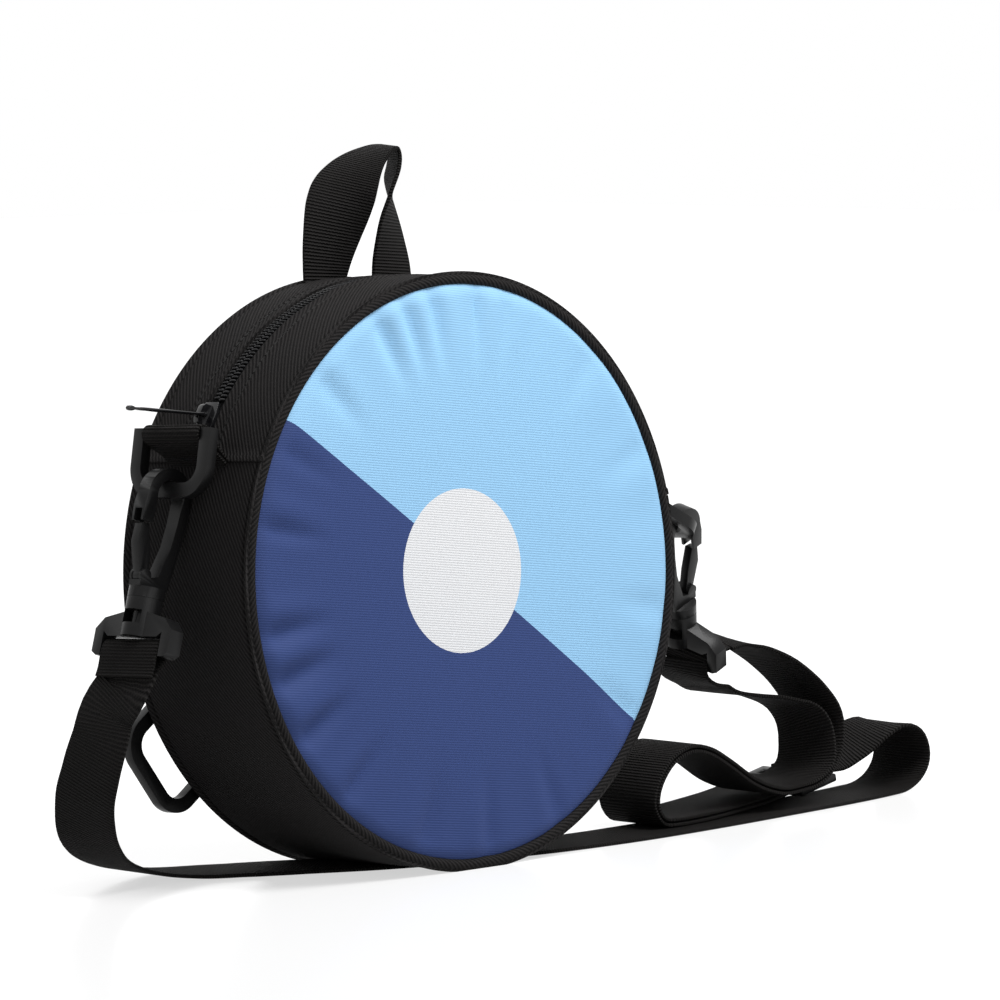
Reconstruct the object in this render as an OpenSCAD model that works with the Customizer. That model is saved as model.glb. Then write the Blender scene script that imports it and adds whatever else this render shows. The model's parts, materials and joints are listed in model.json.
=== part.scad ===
// Round zip bag with a padded body, a top grab handle, four D-rings and a detachable
// shoulder strap on two swivel trigger hooks. Millimetres, +Z up, front towards -Y.
// The origin is the point of the floor under the middle of the bag.

/* [Bag body] */
// Diameter of the sewn body over its side wall
bag_d = 220; // [180:1:260]
// Depth of the body between its two seams
bag_depth = 66; // [56:1:90]
// How far the front panel is crowned by its padding
front_crown = 4; // [2:0.5:8]
// How far the back panel is crowned by its padding
back_crown = 3; // [2:0.5:8]
// Thickness of the outer fabric
fabric_t = 1.4; // [1:0.1:2]
// Thickness of the foam padding
foam_t = 3; // [2:0.5:5]
// Thickness of the lining
lining_t = 0.6; // [0.4:0.1:1]
// Diameter of the piping cord along the seams
piping_d = 4; // [3:0.5:6]
// Lean of the standing bag to the back, in degrees
lean = 3; // [0:0.5:5]
// Roll of the standing bag to its right side, in degrees
roll = 6.7; // [0:0.1:10]
// Height by which the rounded rim is flattened on the floor
rim_sag = 4.3; // [3.6:0.1:6]

/* [Zipper] */
// Angle from the top of the bag to each end of the zipper panel, in degrees
panel_end_angle = 72; // [68:1:80]
// Angle from the top of the bag to each stop of the slider, in degrees
stop_angle = 63; // [50:1:64]
// Distance of the zipper from the middle of the depth, towards the back
zip_y = 3.7; // [0:0.1:8]
// Width of one row of coil
coil_w = 2.9; // [2.5:0.1:4]
// Height of the coil
coil_h = 1.6; // [1.2:0.1:2.2]
// Pitch of the coil turns along the curve
coil_pitch = 2.8; // [2.6:0.1:4]
// Width of one zipper tape
tape_w = 13; // [11:1:16]
// Thickness of the zipper tape
tape_t = 0.6; // [0.4:0.1:0.8]
// Length of the slider
slider_l = 13; // [11:0.5:15]
// Length of the pull from its eye to its tip
pull_l = 36; // [25:1:45]
// Angle of the resting pull above the panel, in degrees
pull_rest = 63; // [20:1:90]

/* [Webbing] */
// Width of the shoulder strap and of the tabs
strap_w = 30; // [25:1:32]
// Thickness of the shoulder strap
strap_t = 1.4; // [1:0.1:1.6]
// Width of the handle webbing
handle_w = 25; // [20:1:28]
// Thickness of the handle webbing
handle_t = 1.6; // [1.2:0.1:2]
// Height of the handle over the top of the body
handle_rise = 50; // [40:1:60]
// Length of a ring tab from its seam to the ring
tab_l = 15.5; // [14:0.5:18]

/* [Rings and hooks] */
// Width of a ring bar seen from the front
ring_bar = 5.3; // [4:0.1:6]
// Thickness of a ring
ring_t = 4.2; // [3.6:0.1:5]
// Distance from the straight bar of a ring to its far bar
ring_drop = 20.5; // [19:0.5:24]
// Thickness of the hook
hook_t = 6; // [5:0.5:7]
// Inner radius of the hook eye
eye_r = 6; // [5.5:0.1:7]
// Width of the hook's section at the eye
hook_bar = 4.3; // [3.5:0.1:5]
// Length of the hook over its eye, spine and swivel, of which its parts take shares
hook_reach = 54.7; // [53:0.1:60]
// Diameter of the swivel pin
swivel_d = 4.4; // [4:0.1:5]
// Diameter of the strap bar of the bracket
strap_bar_d = 4; // [3.5:0.1:5]
// Width of one arm of the bracket
arm_w = 4.6; // [4:0.1:6]
// Thickness of the bracket
bracket_t = 6.4; // [5:0.1:7]

/* [Strap adjuster] */
// Width of the bars of the adjuster
adjuster_bar = 4.4; // [3.6:0.1:5]
// Thickness of the adjuster
adjuster_t = 3.2; // [2.6:0.1:4]

/* [Hidden] */

// One overrun for every cut, and the clearances
over = 1;
soft_gap = 0.3;
run_gap = 0.06;
seat_gap = 0.1;
fine_fn = 96;
small_fn = 40;
bead_fn = 16;

// Radii and depths of the body, in the bag's own frame: axis along Y, front at -Y
bag_r = bag_d / 2;
half_depth = bag_depth / 2;
piping_r = piping_d / 2;
piping_ring_r = bag_r - piping_r - soft_gap;
panel_r = piping_ring_r - piping_r;
piping_rise = piping_r / 2;
bead_r = fabric_t * 0.7;
bead_rise = bead_r * 0.6;
// Stations from the middle of a crowned panel to its edge
panel_shares = [0, 0.2, 0.4, 0.6, 0.75, 0.88, 0.96, 1];
lining_out_r = bag_r - fabric_t - seat_gap;
lining_in_r = lining_out_r - lining_t;

// The floor frame: the bag stands on its flattened rim
rim_r = bag_r + bead_rise;
rise = rim_r * cos(lean) + half_depth * sin(lean) - rim_sag;
strap_tunnel_h = strap_t + soft_gap + seat_gap;
rim_foot = fabric_t * 5;
foot_shift = bag_r * sin(lean);
tunnel_front = rim_foot - half_depth - foot_shift;
tunnel_back = half_depth - rim_foot - foot_shift;
base_wall = strap_tunnel_h + fabric_t;
foot_angle = acos((rise - half_depth * sin(lean) - base_wall - seat_gap) / bag_r);
// Angle to which the pieces of the zipper panel reach, just short of the lower wall
joint_angle = panel_end_angle - seat_gap / bag_r * 180 / PI;

// The mouth: everything above this height of the own frame opens with the flap
slider_angle = (slider_l / 2 + soft_gap) / bag_r * 180 / PI;
mouth_angle = stop_angle - slider_angle;
mouth_z = bag_r * cos(mouth_angle);
mouth_y = -(half_depth + front_crown + piping_rise);
mouth_gap = soft_gap;

// The zipper
tape_in_r = bag_r - fabric_t - tape_t;
tape_gap = 0.6;
tape_edge_w = 2.1;
tape_show = coil_w + tape_edge_w;
coil_r = tape_in_r + tape_t;
coil_wire = coil_h / 2;
lining_slot = tape_w + seat_gap;

// Tabs and rings
ring_in_w = strap_w + soft_gap;
ring_out_w = ring_in_w + 2 * ring_bar;
ring_pin_r = ring_t / 2;
ring_corner_in_r = 6.5;
ring_corner_r = ring_bar + ring_corner_in_r;
tab_angle_left = 142;
tab_angle_right = -17;
tab_root_angle = 90 - panel_end_angle;
upper_left_pivot = [
    -bag_r * cos(tab_root_angle) + tab_l * cos(tab_angle_left), 0,
    bag_r * sin(tab_root_angle) + tab_l * sin(tab_angle_left)];
upper_right_pivot = [
    bag_r * cos(tab_root_angle) + tab_l * cos(tab_angle_right), 0,
    bag_r * sin(tab_root_angle) + tab_l * sin(tab_angle_right)];
// Swings of the hanging rings and hooks about Y, and the tilt of the right hook
left_ring_swing = 5;
right_ring_swing = -70;
left_hook_swing = 11.2;
right_hook_swing = -30.5;
right_hook_tilt = 22.3;
left_hook_y = 2;
right_hook_y = -7;
strap_end_swing = 11;
lower_ring_angle = 132;
lower_ring_inset = 10;
lower_ring_r = bag_r - lower_ring_inset;
lower_ring_y = half_depth + back_crown + ring_t / 2 + soft_gap;

// Hook: the places down its own axis follow from the reach
eye_seat = norm([ring_bar, ring_t]) / 2 + soft_gap;
eye_seat_right = eye_seat + hook_t / 2 * sin(right_hook_tilt) + 3 * soft_gap;
eye_out_r = eye_r + hook_bar;
beak_z = -hook_reach * 0.2;
gate_pin_z = -hook_reach * 0.55;
collar_top_z = -hook_reach * 0.62;
collar_h = hook_reach * 0.07;
collar_z = collar_top_z - collar_h;
collar_r = swivel_d * 1.5;
barrel_ring_h = hook_reach * 0.085;
barrel_window_h = hook_reach * 0.09;
barrel_r = collar_r;
pin_head_r = swivel_d * 0.8;
pin_head_h = barrel_window_h - 4 * seat_gap;
barrel_top_z = collar_z - seat_gap;
window_top_z = barrel_top_z - barrel_ring_h;
window_base_z = window_top_z - barrel_window_h;
barrel_base_z = window_base_z - barrel_ring_h;
bracket_in_w = strap_w + 4 * soft_gap;
bracket_out_w = bracket_in_w + 2 * arm_w;
strap_bar_r = strap_bar_d / 2;
sleeve_r = strap_bar_r + seat_gap / 2 + strap_t;
strap_bar_z = barrel_base_z - sleeve_r - soft_gap;
strap_end_l = 16.5;
cheek_t = 1.2;
gate_t = hook_t - 2 * cheek_t;
gate_pin_r = 1.1;
gate_x = -(eye_r + hook_bar / 2);
gate_base_x = -(collar_r - hook_bar / 2);

// Slider and pull
slider_plate_t = 1.1;
slider_side_w = 1.2;
slider_w = 2 * (tape_gap + coil_w + slider_side_w);
slider_top_z = coil_r + coil_h + soft_gap + seat_gap;
slider_flange_z = coil_r + seat_gap + tape_t / 2;
slider_bow = slider_l * slider_l / 8 / bag_r;
slider_base_z = tape_in_r - 2 * seat_gap - slider_bow - slider_plate_t;
bridge_h = 4.2;
bridge_w = 2.4;
pull_pin_z = slider_top_z + slider_plate_t + bridge_h / 2 - seat_gap;
pull_pin_r = 0.9;
pull_t = 2;
fork_t = 1.2;

// Adjuster
adjuster_in_w = strap_w + 4 * soft_gap;
adjuster_out_w = adjuster_in_w + 2 * adjuster_bar;
adjuster_slot = strap_t * 3;
adjuster_l = 3 * adjuster_bar + 2 * adjuster_slot;
adjuster_place = [231, 22, 5.5];
adjuster_pitch = 12;

// Stations of the handle from the middle between its feet, as shares of its rise, then the
// turn of its width in degrees and the fall of its width
handle_inset = 3;
handle_y = half_depth - handle_inset;
handle_shares = [
    [-0.374, 0, 0.012, 0, 0], [-0.376, 0, 0.14, 0, 0], [-0.35, -0.03, 0.3, -14, 0],
    [-0.31, -0.06, 0.51, -29, -0.05], [-0.28, -0.09, 0.66, -60, -0.2],
    [-0.24, -0.114, 0.76, -76, -0.25], [-0.17, -0.136, 0.86, -92, -0.26],
    [-0.06, -0.16, 0.952, -108, -0.2], [0.044, -0.164, 0.996, -118, -0.1],
    [0.12, -0.148, 0.94, -124, 0.05], [0.16, -0.12, 0.81, -128, 0.1],
    [0.18, -0.088, 0.64, -135, 0], [0.2, -0.06, 0.5, -146, 0], [0.244, -0.03, 0.34, -158, 0],
    [0.316, -0.006, 0.16, -172, 0], [0.344, 0, 0.076, -179, 0], [0.344, 0, 0.018, -180, 0]];

// Strap routes on the floor frame, as [x, y, z] of the middle of the webbing
strap_route = [
    [-140.5, 5, 73.5], [-143.5, 5, 67], [-146.5, 6, 57], [-148, 9, 46], [-147.5, 13, 34],
    [-142, 18, 21.5], [-131, 24, 12], [-113, 29, 5.2], [-92, 29, 1.6], [-70, 22, 0.8],
    [-48, 11, 0.8], [-24, -1, 0.8], [0, -9, 0.8], [25, -13, 0.8], [55, -17, 0.8],
    [95, -18, 0.8], [140, -15, 0.8], [185, -10, 0.8], [225, -5, 0.8], [255, 0, 0.9],
    [268, 2, 1.6], [277, 3, 5], [281.5, 3, 10.5], [282, 3, 17], [279, 3.5, 23.5],
    [272.5, 4.5, 26.8], [265, 7, 24.5], [257, 11, 18.5], [249, 16, 13], [240, 19.5, 10.3],
    [235, 21, 9.6]];
outer_route = [
    [191.4, 10.2, 65.3], [197, 8.5, 63], [208, 5, 56.5], [218, 2, 47.5], [224, -1, 37],
    [223.5, -3, 26], [218, -4, 16.5], [208.5, -5, 10.3], [196, -5, 8.3], [184, -5.5, 8.6],
    [169, -6, 13.5], [153, -7, 22.5], [141, -8, 28.3], [131, -8, 30], [121, -8, 26.6],
    [114, -8, 19], [112, -8, 11], [116, -8, 5.4], [124, -8, 4.5], [143, -5, 4.5],
    [165, 1, 4.7], [190, 9, 5.1], [212, 17, 6], [227, 20.8, 8.1]];
inner_start = 5;
inner_lead_route = [[174.3, 12.9, 50.2], [180, 12, 47.4], [190, 10, 45.4], [203, 6, 43.3],
    [214, 2, 38.5], [218.5, -1.5, 30]];
layer_pitch = strap_t + 2 * soft_gap;
// Turns of the two layers that leave the right loop, and their lengths
lead_outer_turn = 197;
lead_outer_l = 13;
lead_inner_turn = 251;
lead_inner_l = 8;

// A point list of a ribbon: four corners at each station of a route
function unit(v) = v / norm(v);
function tangent(route, i) = unit(
    route[min(i + 1, len(route) - 1)] - route[max(i - 1, 0)]);
function square_to(v, t) = unit(v - (v * t) * t);
function level_width(route, i) = square_to([0, -1, 0], tangent(route, i));
function offset_point(route, i, d) =
    route[i] + d * cross(level_width(route, i), tangent(route, i));
function ribbon_corners(p, w, n, width, thick) = [
    p + w * width / 2 + n * thick / 2, p - w * width / 2 + n * thick / 2,
    p - w * width / 2 - n * thick / 2, p + w * width / 2 - n * thick / 2];
function ribbon_faces(n) = concat(
    [[0, 1, 2], [0, 2, 3]],
    [for (i = [0:n - 2], j = [0:3], k = [0, 1])
        k == 0 ? [4 * i + j, 4 * i + 4 + j, 4 * i + 4 + (j + 1) % 4]
               : [4 * i + j, 4 * i + 4 + (j + 1) % 4, 4 * i + (j + 1) % 4]],
    [[4 * n - 4, 4 * n - 2, 4 * n - 3], [4 * n - 4, 4 * n - 1, 4 * n - 2]]);

module ribbon(route, widths, width, thick) {
    corners = [for (i = [0:len(route) - 1])
        ribbon_corners(route[i], widths[i], cross(tangent(route, i), widths[i]),
            width, thick)];
    polyhedron(points = [for (c = corners, p = c) p], faces = ribbon_faces(len(route)));
}

module level_ribbon(route) {
    ribbon(route, [for (i = [0:len(route) - 1]) level_width(route, i)], strap_w, strap_t);
}

// The standing bag: own frame to floor frame
module stand() {
    translate([0, 0, rise]) rotate([-lean, 0, 0]) rotate([0, roll, 0]) children();
}

// Everything of the floor frame above a height
module above(z) {
    translate([-2 * bag_d, -2 * bag_d, z]) cube([4 * bag_d, 4 * bag_d, 3 * bag_d]);
}

// Turns a profile of [radius, distance to the front] about the bag's axis, between two
// angles measured from the top, clockwise as seen from the front
module turned(from_angle, to_angle) {
    rotate([90, 0, 0])
        rotate([0, 0, 90 - to_angle])
            rotate_extrude(angle = to_angle - from_angle, $fn = fine_fn) children();
}

module turned_all() {
    rotate([90, 0, 0]) rotate_extrude($fn = fine_fn) children();
}

// A disc of the own frame between two depths, y from front to back
module disc(r, y0, y1) {
    translate([0, y1, 0]) rotate([90, 0, 0]) cylinder(h = y1 - y0, r = r, $fn = fine_fn);
}

// The part of the own frame above or below the mouth line
module mouth_side(upper) {
    z = upper ? mouth_z + mouth_gap / 2 : mouth_z - mouth_gap / 2 - 2 * bag_d;
    translate([-bag_d, -bag_d, z]) cube([2 * bag_d, 2 * bag_d, 2 * bag_d]);
}

// A crowned sheet as wide as the panel: its outer face lies at depth, swollen by crown
module crowned_sheet(r, depth, crown, thick) {
    polygon(concat(
        [for (s = panel_shares) [r * s, depth + crown * (1 - s * s)]],
        [for (i = [len(panel_shares) - 1:-1:0])
            [r * panel_shares[i],
             depth - thick + crown * (1 - panel_shares[i] * panel_shares[i])]]));
}

module front_sheet(inset, thick) {
    turned_all() crowned_sheet(panel_r - soft_gap, half_depth - inset, front_crown, thick);
}

module back_sheet(inset, thick) {
    mirror([0, 1, 0])
        turned_all() crowned_sheet(panel_r - soft_gap, half_depth - inset, back_crown, thick);
}

module piping_profile(side, grow) {
    translate([piping_ring_r, side * (half_depth + piping_rise - piping_r)])
        circle(r = piping_r + grow, $fn = small_fn);
}

module piping_ring() {
    turned_all() piping_profile(1, 0);
}

// Sub-parts of the body

module front_panel() {
    color("midnightblue") stand() intersection() {
        front_sheet(0, fabric_t);
        mouth_side(false);
    }
}

module front_panel_top() {
    color("lightskyblue") stand() intersection() {
        front_sheet(0, fabric_t);
        mouth_side(true);
    }
}

module front_foam() {
    color("dimgray") stand() intersection() {
        front_sheet(fabric_t + seat_gap, foam_t);
        mouth_side(false);
    }
}

module front_foam_top() {
    color("dimgray") stand() intersection() {
        front_sheet(fabric_t + seat_gap, foam_t);
        mouth_side(true);
    }
}

module front_piping() {
    color("black") intersection() {
        stand() intersection() {
            piping_ring();
            mouth_side(false);
        }
        above(seat_gap);
    }
}

module front_piping_top() {
    color("black") stand() intersection() {
        piping_ring();
        mouth_side(true);
    }
}

module back_panel() {
    color("black") intersection() {
        stand() back_sheet(0, fabric_t);
        above(base_wall);
    }
}

module back_foam() {
    color("dimgray") intersection() {
        stand() back_sheet(fabric_t + seat_gap, foam_t);
        above(base_wall + seat_gap);
    }
}

// The back piping ends at both sides of the foot, where the rim is pressed flat
module back_piping() {
    color("black") stand()
        turned(foot_angle - 180 - roll, 180 - foot_angle - roll) piping_profile(-1, 0);
}

// Side wall below the zipper panel, with the turned seam edge standing proud at both
// rims, flattened where it stands and drawn in over the strap that lies under it
module wall_profile() {
    difference() {
        union() {
            polygon([
                [bag_r - fabric_t, -half_depth], [bag_r, -half_depth],
                [bag_r, half_depth], [bag_r - fabric_t, half_depth]]);
            for (side = [-1, 1]) strip_bead(side);
        }
        for (side = [-1, 1]) piping_profile(side, seat_gap);
    }
}

// The wall on one side, from the zipper panel down to its seam at the foot
module wall_half(side) {
    seam = seat_gap / bag_r * 90 / PI;
    from_angle = side > 0 ? panel_end_angle : 180 + seam;
    to_angle = side > 0 ? 180 - seam : 360 - panel_end_angle;
    intersection() {
        stand() turned(from_angle, to_angle) wall_profile();
        above(0);
    }
}

// The cloth pressed flat where the bag stands
module wall_foot() {
    intersection() {
        stand() disc(bag_r - fabric_t / 2, -half_depth + piping_d, half_depth);
        above(0);
        translate([0, 0, base_wall]) mirror([0, 0, 1]) above(0);
    }
}

module lower_gusset() {
    color("black") difference() {
        union() {
            for (side = [-1, 1]) wall_half(side);
            wall_foot();
        }
        translate([-bag_r / 3, tunnel_front, -over])
            cube([bag_r * 2 / 3, tunnel_back - tunnel_front, strap_tunnel_h + over]);
    }
}

// Sewn-down ends of the front strip, outside the stops of the slider
module strip_profile(y0, y1) {
    translate([bag_r - fabric_t + seat_gap, -y1]) square([fabric_t - seat_gap, y1 - y0]);
}

module strip_bead(side) {
    translate([bag_r + bead_rise - bead_r, side * (half_depth - bead_r)])
        circle(r = bead_r, $fn = bead_fn);
}

module tape_profile(side) {
    translate([tape_in_r, side > 0 ? -zip_y + tape_gap : -zip_y - tape_gap - tape_w])
        square([tape_t, tape_w]);
}

module front_strip_profile() {
    difference() {
        union() {
            strip_profile(-half_depth, zip_y - tape_show);
            strip_bead(1);
        }
        piping_profile(1, seat_gap);
    }
}

module zipper_strip_ends() {
    color("black") stand() intersection() {
        for (side = [-1, 1])
            turned(side > 0 ? mouth_angle - slider_angle : -joint_angle,
                   side > 0 ? joint_angle : slider_angle - mouth_angle) {
                front_strip_profile();
                tape_profile(1);
            }
        mouth_side(false);
    }
}

module front_zipper_strip() {
    color("black") stand() intersection() {
        turned(-stop_angle, stop_angle) front_strip_profile();
        mouth_side(true);
    }
}

module back_zipper_strip() {
    color("black") stand() turned(-joint_angle, joint_angle)
        difference() {
            union() {
                strip_profile(zip_y + tape_show, half_depth);
                strip_bead(-1);
            }
            piping_profile(-1, seat_gap);
        }
}

module front_zipper_tape() {
    color("black") stand() intersection() {
        turned(-stop_angle, stop_angle) tape_profile(1);
        mouth_side(true);
    }
}

module back_zipper_tape() {
    color("black") stand() turned(-joint_angle, joint_angle) tape_profile(-1);
}

// One turn of the coil: a rounded bar across the tape with a thicker head at the middle
module coil_turn(side) {
    translate([0, zip_y - side * (tape_gap + coil_w), coil_r + coil_wire + seat_gap / 2])
        rotate([side > 0 ? -90 : 90, 0, 0]) {
            cylinder(h = coil_w, r = coil_wire * 0.8, $fn = 16);
            translate([0, 0, coil_w * 0.7])
                cylinder(h = coil_w * 0.3, r = coil_wire, $fn = 16);
        }
}

module coil_row(side, a0, a1) {
    step = coil_pitch / bag_r * 180 / PI;
    count = floor((a1 - a0) / step);
    for (i = [0:count])
        rotate([0, (a0 + a1) / 2 + (i - count / 2) * step, 0]) coil_turn(side);
}

module front_zipper_coil() {
    end_angle = mouth_angle - 2 * slider_angle / slider_l;
    color("dimgray") stand() coil_row(1, -end_angle, end_angle);
}

module back_zipper_coil() {
    end_angle = stop_angle - slider_angle - coil_pitch / bag_r * 180 / PI;
    color("dimgray") stand() coil_row(-1, -end_angle, end_angle);
}

// The short stretch of closed coil past each stop of the slider
module end_coil() {
    color("dimgray") stand()
        for (row = [-1, 1], side = [-1, 1])
            rotate([0, side * (stop_angle + panel_end_angle + slider_angle) / 2, 0])
                coil_turn(row);
}

// Bowl of lining inside the walls and against both foams
module lining_bowl() {
    inner_depth = half_depth - fabric_t - foam_t - 3 * seat_gap;
    slot_angle = stop_angle + 2 * slider_angle;
    color("gray") intersection() {
        stand() difference() {
            disc(lining_out_r - tape_t - seat_gap, -inner_depth, inner_depth);
            disc(lining_in_r - tape_t - seat_gap, -inner_depth + lining_t,
                inner_depth - lining_t);
            intersection() {
                disc(bag_r, -half_depth, zip_y + lining_slot);
                mouth_side(true);
            }
            turned(-slot_angle, slot_angle)
                translate([bag_r / 2, -zip_y - slider_w / 2 - soft_gap])
                    square([bag_r / 2, slider_w + 2 * soft_gap]);
        }
        above(base_wall + seat_gap);
    }
}

// Slider with two plates, side flanges, a divider between the tapes and a bridge
module slider_plate(z, t, w) {
    translate([0, zip_y, z]) linear_extrude(t)
        polygon([
            [-slider_l / 2, -w * 0.3], [-slider_l * 0.3, -w / 2], [slider_l * 0.15, -w / 2],
            [slider_l / 2, -w * 0.36], [slider_l / 2, w * 0.36], [slider_l * 0.15, w / 2],
            [-slider_l * 0.3, w / 2], [-slider_l / 2, w * 0.3]]);
}

module slider_shape() {
    slider_plate(slider_base_z, slider_plate_t, slider_w * 0.8);
    slider_plate(slider_top_z, slider_plate_t, slider_w);
    for (side = [-1, 1])
        translate([
                -slider_l * 0.3,
                zip_y + side * (slider_w - slider_plate_t) / 2 - slider_plate_t / 2,
                slider_flange_z])
            cube([slider_l * 0.45, slider_plate_t, slider_top_z - slider_flange_z + seat_gap]);
    translate([-slider_l / 2 + slider_l * 0.1, zip_y - tape_gap + seat_gap, slider_base_z])
        cube([slider_l * 0.2, 2 * (tape_gap - seat_gap), slider_top_z - slider_base_z + seat_gap]);
    translate([0, zip_y + bridge_w / 2, slider_top_z + slider_plate_t - seat_gap])
        rotate([90, 0, 0]) linear_extrude(bridge_w)
            difference() {
                polygon([
                    [-slider_l * 0.38, 0], [-slider_l * 0.3, bridge_h * 0.8],
                    [-slider_l * 0.2, bridge_h], [slider_l * 0.2, bridge_h],
                    [slider_l * 0.3, bridge_h * 0.8], [slider_l * 0.38, 0]]);
                translate([0, bridge_h / 2]) circle(r = pull_pin_r + run_gap, $fn = small_fn);
            }
}

module at_slider() {
    stand() rotate([0, -stop_angle, 0]) children();
}

module zipper_slider() {
    color("black") at_slider() slider_shape();
}

// Pull: a forked eye on a pin through the bridge, a flat bar and a thick moulded tip
module zipper_pull() {
    fork_in = bridge_w / 2 + run_gap;
    color("black") at_slider()
        translate([0, zip_y, pull_pin_z]) rotate([0, pull_rest, 0]) mirror([1, 0, 0])
            rotate([90, 0, 0]) {
                translate([0, 0, -fork_in - fork_t])
                    cylinder(h = 2 * (fork_in + fork_t), r = pull_pin_r, $fn = small_fn);
                for (side = [-1, 1])
                    translate([0, 0, side > 0 ? fork_in : -fork_in - fork_t])
                        linear_extrude(fork_t) {
                            circle(r = pull_t * 0.8, $fn = small_fn);
                            translate([0, -pull_t / 2]) square([pull_l * 0.25, pull_t]);
                        }
                translate([pull_l * 0.2, -pull_t / 2, -fork_in - fork_t])
                    cube([pull_l * 0.5, pull_t, 2 * (fork_in + fork_t)]);
                translate([0, 0, -fork_in - fork_t])
                    linear_extrude(2 * (fork_in + fork_t))
                        polygon([
                            [pull_l * 0.55, -pull_t / 2], [pull_l * 0.62, -pull_t * 0.8],
                            [pull_l * 0.96, -pull_t * 0.9], [pull_l, -pull_t * 0.5],
                            [pull_l, pull_t * 0.5], [pull_l * 0.96, pull_t * 0.9],
                            [pull_l * 0.62, pull_t * 0.8], [pull_l * 0.55, pull_t / 2]]);
            }
}

// Grab handle: one length of webbing with a half turn between its two sewn feet
module top_handle() {
    points = [for (s = handle_shares)
        [0, handle_y, bag_r] + handle_rise * [s[0], s[1], s[2]]];
    widths = [for (i = [0:len(handle_shares) - 1])
        square_to([cos(handle_shares[i][3]), sin(handle_shares[i][3]), handle_shares[i][4]],
            tangent(points, i))];
    color("black") stand() ribbon(points, widths, handle_w, handle_t);
}

// Tab of doubled webbing from a seam point to a ring bar, folded round the bar.
// The tab lies along -X from the bar, its width along Y.
module tab_shape(length, lift) {
    fold_r = ring_pin_r + run_gap + strap_t;
    rotate([90, 0, 0]) translate([0, 0, -strap_w / 2]) linear_extrude(strap_w)
        difference() {
            union() {
                circle(r = fold_r, $fn = small_fn);
                polygon([
                    [0, fold_r], [-length, lift + strap_t], [-length, lift - strap_t],
                    [0, -fold_r]]);
            }
            circle(r = ring_pin_r + run_gap, $fn = small_fn);
        }
}

module upper_left_tab() {
    color("black") stand() difference() {
        translate(upper_left_pivot) rotate([0, 180 - tab_angle_left, 0]) mirror([1, 0, 0])
            tab_shape(tab_l, 0);
        disc(bag_r + seat_gap, -half_depth, half_depth);
    }
}

module upper_right_tab() {
    color("black") stand() difference() {
        translate(upper_right_pivot) rotate([0, -tab_angle_right, 0]) tab_shape(tab_l, 0);
        disc(bag_r + seat_gap, -half_depth, half_depth);
    }
}

// Places for the lower rings, flat against the back near the rim
module at_lower_ring(side) {
    stand() rotate([0, side * lower_ring_angle, 0])
        translate([0, lower_ring_y, lower_ring_r]) rotate([0, 0, 90]) rotate([180, 0, 0])
            children();
}

module lower_tab(side) {
    color("black") difference() {
        at_lower_ring(side) rotate([0, 90, 0]) tab_shape(tab_l, -ring_t / 2);
        stand() back_envelope();
    }
}

// The space of the body behind the back panel's outer face
module back_envelope() {
    mirror([0, 1, 0]) turned_all()
        crowned_sheet(panel_r - soft_gap, half_depth + seat_gap, back_crown, bag_depth / 3);
}

module lower_left_tab() {
    lower_tab(-1);
}

module lower_right_tab() {
    lower_tab(1);
}

// D-ring: a round straight bar for the tab, and a flat bow with two round corners.
// The bar lies on Y through the origin and the bow hangs down.
module ring_outline(half_w, drop, corner) {
    translate([-half_w, -drop + corner]) square([2 * half_w, drop - corner]);
    translate([-half_w + corner, -drop]) square([2 * (half_w - corner), corner]);
    for (side = [-1, 1])
        translate([side * (half_w - corner), -drop + corner])
            circle(r = corner, $fn = small_fn * 2);
}

module ring_shape() {
    rotate([0, 0, 90]) rotate([90, 0, 0]) {
        translate([0, 0, -ring_t / 2]) linear_extrude(ring_t) difference() {
            union() {
                ring_outline(ring_out_w / 2, ring_drop + ring_bar / 2, ring_corner_r);
                translate([-ring_out_w / 2, 0]) square([ring_out_w, ring_t / 2]);
            }
            ring_outline(ring_in_w / 2, ring_drop - ring_bar / 2, ring_corner_r - ring_bar);
            translate([-ring_in_w / 2, -ring_t / 2]) square([ring_in_w, ring_t + over]);
        }
        rotate([0, 90, 0])
            translate([0, 0, -ring_in_w / 2 - seat_gap])
                cylinder(h = ring_in_w + 2 * seat_gap, r = ring_pin_r, $fn = small_fn);
    }
}

module upper_left_ring() {
    color("black") stand() translate(upper_left_pivot) rotate([0, left_ring_swing, 0])
        ring_shape();
}

module upper_right_ring() {
    color("black") stand() translate(upper_right_pivot) rotate([0, right_ring_swing, 0])
        ring_shape();
}

module lower_left_ring() {
    color("black") at_lower_ring(-1) ring_shape();
}

module lower_right_ring() {
    color("black") at_lower_ring(1) ring_shape();
}

// Places of the hooks: their origin is the middle of the ring's far bar
module at_left_hook() {
    stand()
        translate(upper_left_pivot + [
            -ring_drop * sin(left_ring_swing), left_hook_y, -ring_drop * cos(left_ring_swing)])
            rotate([0, left_hook_swing, 0]) translate([0, 0, eye_seat - eye_r]) children();
}

module at_right_hook() {
    stand()
        translate(upper_right_pivot + [
            -ring_drop * sin(right_ring_swing), right_hook_y,
            -ring_drop * cos(right_ring_swing)])
            rotate([0, right_hook_swing, 0]) rotate([right_hook_tilt, 0, 0])
                translate([0, 0, eye_seat_right - eye_r]) mirror([1, 0, 0]) children();
}

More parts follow.
